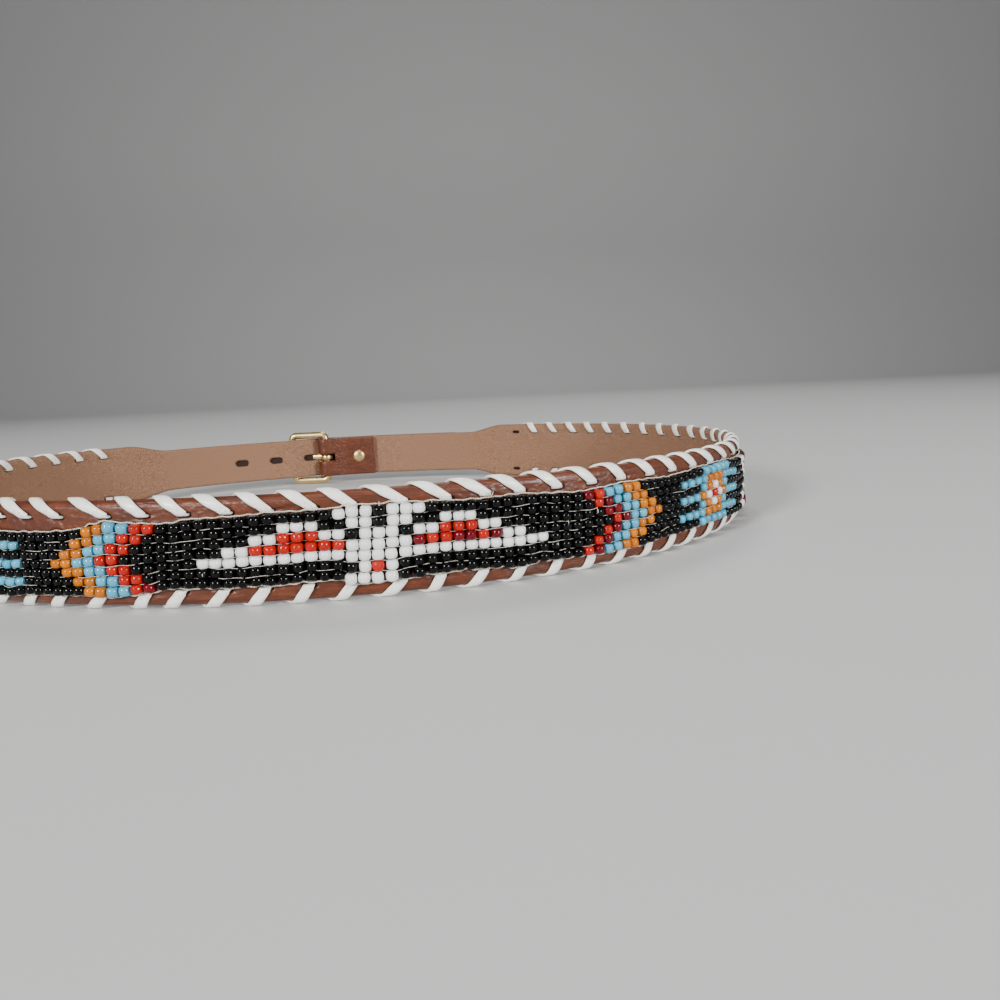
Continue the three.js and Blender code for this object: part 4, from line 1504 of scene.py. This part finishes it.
@dataclass
class Threads:
    """The warp threads between the rows, the edge threads and the upright bits of weft."""

    sizes: Sizes
    loop: Loop
    end_gap: float = 0.8
    warp_radius: float = 0.058
    warp_out: float = 0.46
    warp_weave: float = 0.5
    warp_wander: float = 0.16
    sides: int = 5
    ply_radius: float = 0.09
    ply_sides: int = 4
    twist_length: float = 1.1
    edge_gap: float = 0.12
    edge_outs: Pair = (2.2, 2.75)
    edge_sways: Pair = (0.12, 0.2)
    bit_radius: float = 0.085
    bit_half: float = 0.6
    bit_out: float = 3.75
    bit_bulge: float = 0.5
    bit_drop: float = 1.1
    upright_bits: tuple[Triple, ...] = (
        (-36.5, 8.2, 0.02), (-35.6, 19.1, 0.12), (0.7, 20.9, 0.03), (11.7, 20.4, 0.0), (39.7, 8.0, 0.05),
        (42.5, 12.6, 0.1), (50.4, 14.4, -0.05), (24.1, 21.0, -0.4), (24.6, 21.1, 0.05), (25.0, 20.9, 0.35),
    )

    @staticmethod
    def lay(shape: Shape, along: np.ndarray, up: np.ndarray, out: np.ndarray, ring: np.ndarray) -> None:
        """Adds one thread that runs along the belt."""
        shape.add_tube(np.stack([along, up, out], axis=1), np.array([0.0, 1.0, 0.0]), ring)

    def add_warps(self, shape: Shape, rows: int) -> None:
        """Adds the warp threads. Each lies between two rows and comes forward and back as a sum of waves.

        Args:
            shape: the threads' surfaces.
            rows: how many rows of beads there are.
        """
        half = self.sizes.band_half - self.end_gap
        along = np.arange(-half, half, self.sizes.bead_pitch / 3)
        low, high = self.sizes.bead_edges(along)
        for joint in range(1, rows):
            up = high + (low - high) * joint / rows
            up = up + self.warp_wander * waves(along, (5.1, 11.0, 23.0), 30 + joint)
            weave = self.warp_weave * waves(along, (7.3, 17.0, 31.0), 50 + joint)
            out = self.sizes.bead_out + self.warp_out + weave
            self.lay(shape, along, up, out, circle(self.sides, self.warp_radius))

    def add_edges(self, shape: Shape) -> None:
        """Adds the edge threads. Each is two plies, and a ply is a helix round the wandering edge line.

        Args:
            shape: the threads' surfaces.
        """
        half = self.sizes.band_half - self.end_gap
        along = np.arange(-half, half, self.twist_length / 7)
        low, high = self.sizes.bead_edges(along)
        for number, edge in enumerate((high + self.edge_gap, low - self.edge_gap)):
            wander = self.edge_sways[number] * waves(along, (2.9, 4.3, 9.1), 71 + number)
            for ply in (0, np.pi):
                turn = 2 * np.pi * along / self.twist_length + ply
                up = edge + wander + self.ply_radius * np.cos(turn)
                out = self.edge_outs[number] + wander * 0.5 + self.ply_radius * np.sin(turn)
                self.lay(shape, along, up, out, circle(self.ply_sides, self.ply_radius))

    def add_bits(self, shape: Shape) -> None:
        """Adds the upright bits. Each bulges as a parabola and drops to the leather past the upper edge.

        Args:
            shape: the threads' surfaces.
        """
        share = np.linspace(-1, 1, 7)
        for middle, height, lean in self.upright_bits:
            up = height + self.bit_half * share
            edge = float(self.sizes.bead_edges(np.array([middle]))[1][0])
            drop = self.bit_drop * smooth_step(edge - 0.9, edge + 0.3, up)
            out = self.bit_out - self.bit_bulge * share**2 - drop
            line = np.stack([middle + lean * share, up, out], axis=1)
            shape.add_tube(line, np.array([1.0, 0.0, 0.0]), circle(self.sides, self.bit_radius))

    def build(self, chart: Chart) -> bpy.types.Object:
        """Makes every thread.

        Args:
            chart: the loom chart, for its rows.

        Returns:
            The dressed piece.
        """
        shape = Shape(self.loop)
        self.add_warps(shape, chart.rows)
        self.add_edges(shape)
        self.add_bits(shape)
        piece = shape.write("weaving_thread", ThreadFinish().material(), 80)
        fit_to_body(piece, "thread", "beadwork_band")
        return piece

# Metal


@dataclass
class Buckle:
    """The plain brass buckle: a bent round bar and its prong."""

    sizes: Sizes
    loop: Loop
    bar_radius: float = 1.5
    half_height: float = 10.5
    front: Pair = (15.0, 3.35)
    corner: float = 2.0
    bar_sides: int = 16
    prong_eye: float = 2.15
    prong_half: Pair = (1.2, 0.62)
    prong_sides: int = 12
    prong_points: int = 70
    squareness: float = 0.7
    narrowing: float = 0.35
    prong_run: tuple[Pair, ...] = (
        (4.0, 3.05), (9.0, 4.35), (13.0, 5.25), (15.0, 5.45), (16.2, 5.2), (17.0, 4.75),
    )

    def frame_rings(self) -> np.ndarray:
        """Carries a circle round a rounded rectangle in the buckle's tilted plane.

        Returns:
            The rings, in belt coordinates.
        """
        run_length = math.hypot(*self.front)
        tilt = np.array(self.front) / run_length
        turn = np.linspace(0, np.pi / 2, 9)
        corners = []
        starts = ((run_length, -1, -np.pi / 2), (run_length, 1, 0), (0, 1, np.pi / 2), (0, -1, np.pi))
        for run, side, start in starts:
            centre = (run - self.corner if run else self.corner, side * (self.half_height - self.corner))
            bend = np.stack([np.cos(start + turn), np.sin(start + turn)], axis=1)
            corners.append(np.array(centre) + self.corner * bend)
        flat = np.concatenate(corners)
        heading = unit(np.roll(flat, -1, axis=0) - np.roll(flat, 1, axis=0))
        sideways = np.stack([heading[:, 1], -heading[:, 0]], axis=1)
        ring = circle(self.bar_sides, self.bar_radius)
        in_plane = flat[:, None] + ring[None, :, :1] * sideways[:, None]
        off_plane = np.broadcast_to(ring[None, :, 1], in_plane.shape[:2])
        along = self.sizes.heel + in_plane[..., 0] * tilt[0] - off_plane * tilt[1]
        out = in_plane[..., 0] * tilt[1] + off_plane * tilt[0]
        return np.stack([along, self.sizes.middle + in_plane[..., 1], out], axis=-1)

    def prong_path(self) -> np.ndarray:
        """The prong's line, which goes round the heel bar and straight to the front bar.

        Returns:
            Evenly spaced points, in belt coordinates.
        """
        angle = np.linspace(-1.2 * np.pi, 0.42 * np.pi, 30)
        eye = self.prong_eye * np.stack([np.cos(angle), np.sin(angle)], axis=1)
        line = np.concatenate([eye, np.array(self.prong_run)])
        spacing = np.concatenate([[0], np.cumsum(np.linalg.norm(np.diff(line, axis=0), axis=1))])
        fine = np.linspace(0, spacing[-1], self.prong_points)
        along, out = (np.interp(fine, spacing, line[:, axis]) for axis in (0, 1))
        return np.stack([self.sizes.heel + along, np.full(self.prong_points, self.sizes.middle), out], axis=1)

    def build(self) -> bpy.types.Object:
        """Makes the frame and the prong, whose rounded section gets narrower towards its point.

        Returns:
            The dressed piece.
        """
        shape = Shape(self.loop)
        shape.add_sweep(self.frame_rings(), closed=True)
        rounded = circle(self.prong_sides)
        rounded = np.sign(rounded) * np.abs(rounded) ** self.squareness * np.array(self.prong_half)
        width = 1 - self.narrowing * smooth_step(0.6, 1.0, np.linspace(0, 1, self.prong_points))
        shape.add_tube(self.prong_path(), np.array([0.0, 1.0, 0.0]), rounded[None] * width[:, None, None])
        piece = shape.write("brass_buckle", BrassFinish().material())
        fit_to_body(piece, "brass", "buckle")
        return piece


@dataclass
class FoldRivet:
    """The brass rivet through both layers of the fold."""

    sizes: Sizes
    loop: Loop
    from_heel: float = 15.0
    sides: int = 24
    profile: tuple[Pair, ...] = (
        (0.02, -2.95), (1.0, -2.9), (2.0, -2.7), (2.55, -2.42), (2.7, -2.22), (2.6, -2.12), (1.5, -2.1),
        (1.5, 2.1), (2.6, 2.12), (2.7, 2.22), (2.55, 2.42), (2.0, 2.7), (1.0, 2.9), (0.02, 2.95),
    )

    def build(self) -> bpy.types.Object:
        """Turns the profile of two low domes and a post round the rivet's axis.

        Returns:
            The dressed piece.
        """
        profile = np.array(self.profile)
        x, up, out = turned(profile, circle(self.sides))
        rings = np.stack([self.sizes.heel - self.from_heel + x, self.sizes.middle + up, out], axis=-1)
        shape = Shape(self.loop)
        shape.add_sweep(rings)
        piece = shape.write("brass_rivet", BrassFinish().material())
        fit_to_body(piece, "brass", "fold_rivet")
        return piece


# Studio


@dataclass(frozen=True)
class Softbox:
    """A soft light that looks at the belt, with its place in metres."""

    name: str
    place: Triple
    size: float
    power: float
    aim: Triple = (0.02, -0.09, 0.012)

    def build(self) -> None:
        """Adds the light."""
        data = bpy.data.lights.new(self.name, "AREA")
        data.shape = "DISK"
        data.size = self.size
        data.energy = self.power
        lamp = bpy.data.objects.new(self.name, data)
        place, aim = np.array(self.place), np.array(self.aim)
        back = unit(place - aim)
        side = unit(np.cross((0, 0, 1), back))
        turn = np.stack([side, np.cross(back, side), back], axis=1)
        lamp.matrix_world = Matrix.Translation(self.place) @ Matrix(turn.tolist()).to_4x4()
        bpy.context.scene.collection.objects.link(lamp)


@dataclass
class Studio:
    """The pale floor, in metres, the lights and the camera of the photograph's view, in millimetres."""

    floor_colour: Colour = (0.55, 0.55, 0.54)
    floor_roughness: float = 0.75
    floor_reach: Pair = (-2.5, 1.4)
    floor_gap: float = 0.0001
    half_span: float = 4.0
    bend: float = 0.8
    wall_top: float = 4.0
    sensor: float = 36.0
    nearest: float = 0.01
    air_colour: Colour = (0.93, 0.96, 1.0)
    air_strength: float = 0.15
    camera_place: Triple = (50.13, -248.22, 46.82)
    yaw_deg: float = 0.753
    pitch_deg: float = -9.8
    roll_deg: float = -2.745
    lens: float = 26.14
    softboxes: tuple[Softbox, ...] = (
        Softbox("softbox_above", (0.0, -0.7, 1.3), 0.6, 4.0),
        Softbox("softbox_behind", (0.15, 1.05, 1.35), 0.6, 9.0),
        Softbox("lamp_left", (-0.75, -1.05, 0.5), 0.3, 21.0),
        Softbox("lamp_right", (0.95, -0.93, 0.38), 0.3, 20.0),
    )

    def floor(self) -> bpy.types.Object:
        """A sweep that lies flat under the belt and curves up into a wall behind it.

        Returns:
            The floor.
        """
        front, back = self.floor_reach
        flat = np.array([[front, 0.0], [back, 0.0]])
        turn = np.linspace(0, np.pi / 2, 20)[1:]
        curve = np.stack([back + self.bend * np.sin(turn), self.bend - self.bend * np.cos(turn)], axis=1)
        profile = np.concatenate([flat, curve, [[back + self.bend, self.wall_top]]])
        across = np.linspace(-self.half_span, self.half_span, 9)
        points = np.stack(
            [
                across[None, :] + 0 * profile[:, :1],
                profile[:, :1] + 0 * across,
                profile[:, 1:] + 0 * across - self.floor_gap,
            ],
            axis=-1,
        )
        mesh = bpy.data.meshes.new("studio_floor")
        quads = grid_quads(len(profile), len(across), False)[:, ::-1]
        mesh.from_pydata(points.reshape(-1, 3).tolist(), [], quads.tolist())
        mesh.polygons.foreach_set("use_smooth", np.ones(len(quads), bool))
        finish = {"Base Color": self.floor_colour, "Roughness": self.floor_roughness}
        mesh.materials.append(Graph("pale_floor").finish(finish))
        floor = bpy.data.objects.new("studio_floor", mesh)
        bpy.context.scene.collection.objects.link(floor)
        return floor

    def camera(self) -> bpy.types.Object:
        """The camera that was fitted to the photograph.

        Returns:
            The camera, made the scene's own.
        """
        yaw, pitch, roll = (math.radians(x) for x in (self.yaw_deg, self.pitch_deg, self.roll_deg))
        ahead = np.array(
            [math.sin(yaw) * math.cos(pitch), math.cos(yaw) * math.cos(pitch), math.sin(pitch)]
        )
        level = np.array([math.cos(yaw), -math.sin(yaw), 0])
        above = np.cross(level, ahead)
        right = math.cos(roll) * level + math.sin(roll) * above
        top = math.cos(roll) * above - math.sin(roll) * level
        data = bpy.data.cameras.new("photo_camera")
        data.sensor_width = self.sensor
        data.lens = self.lens
        data.clip_start = self.nearest
        camera = bpy.data.objects.new("photo_camera", data)
        turn = Matrix(np.stack([right, top, -ahead], axis=1).tolist()).to_4x4()
        camera.matrix_world = Matrix.Translation([x * MM for x in self.camera_place]) @ turn
        bpy.context.scene.collection.objects.link(camera)
        bpy.context.scene.camera = camera
        return camera

    def build(self) -> None:
        """Sets up the whole studio."""
        self.floor()
        self.camera()
        for softbox in self.softboxes:
            softbox.build()
        world = bpy.data.worlds.new("studio_air")
        world.use_nodes = True
        air = world.node_tree.nodes["Background"]
        air.inputs["Color"].default_value = (*self.air_colour, 1)
        air.inputs["Strength"].default_value = self.air_strength
        bpy.context.scene.world = world
        log.info("studio: floor, camera and %d softboxes", len(self.softboxes))


def main() -> None:
    """Builds every sub-assembly in order."""
    logging.basicConfig(level=logging.INFO, format="%(name)s %(message)s")
    sizes = Sizes()
    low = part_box("beadwork_band")[0]
    band_front = 3.85
    loop = Loop(centre_y=low.y / MM + Loop.depth / 2 + band_front)
    chart = Chart()
    Studio().build()
    LeatherStrap(sizes, loop).build()
    Lacing(sizes, loop, lower=False).build()
    Lacing(sizes, loop, lower=True).build()
    Beadwork(sizes, loop).build(chart)
    Threads(sizes, loop).build(chart)
    Buckle(sizes, loop).build()
    FoldRivet(sizes, loop).build()


if __name__ == "__main__":
    main()
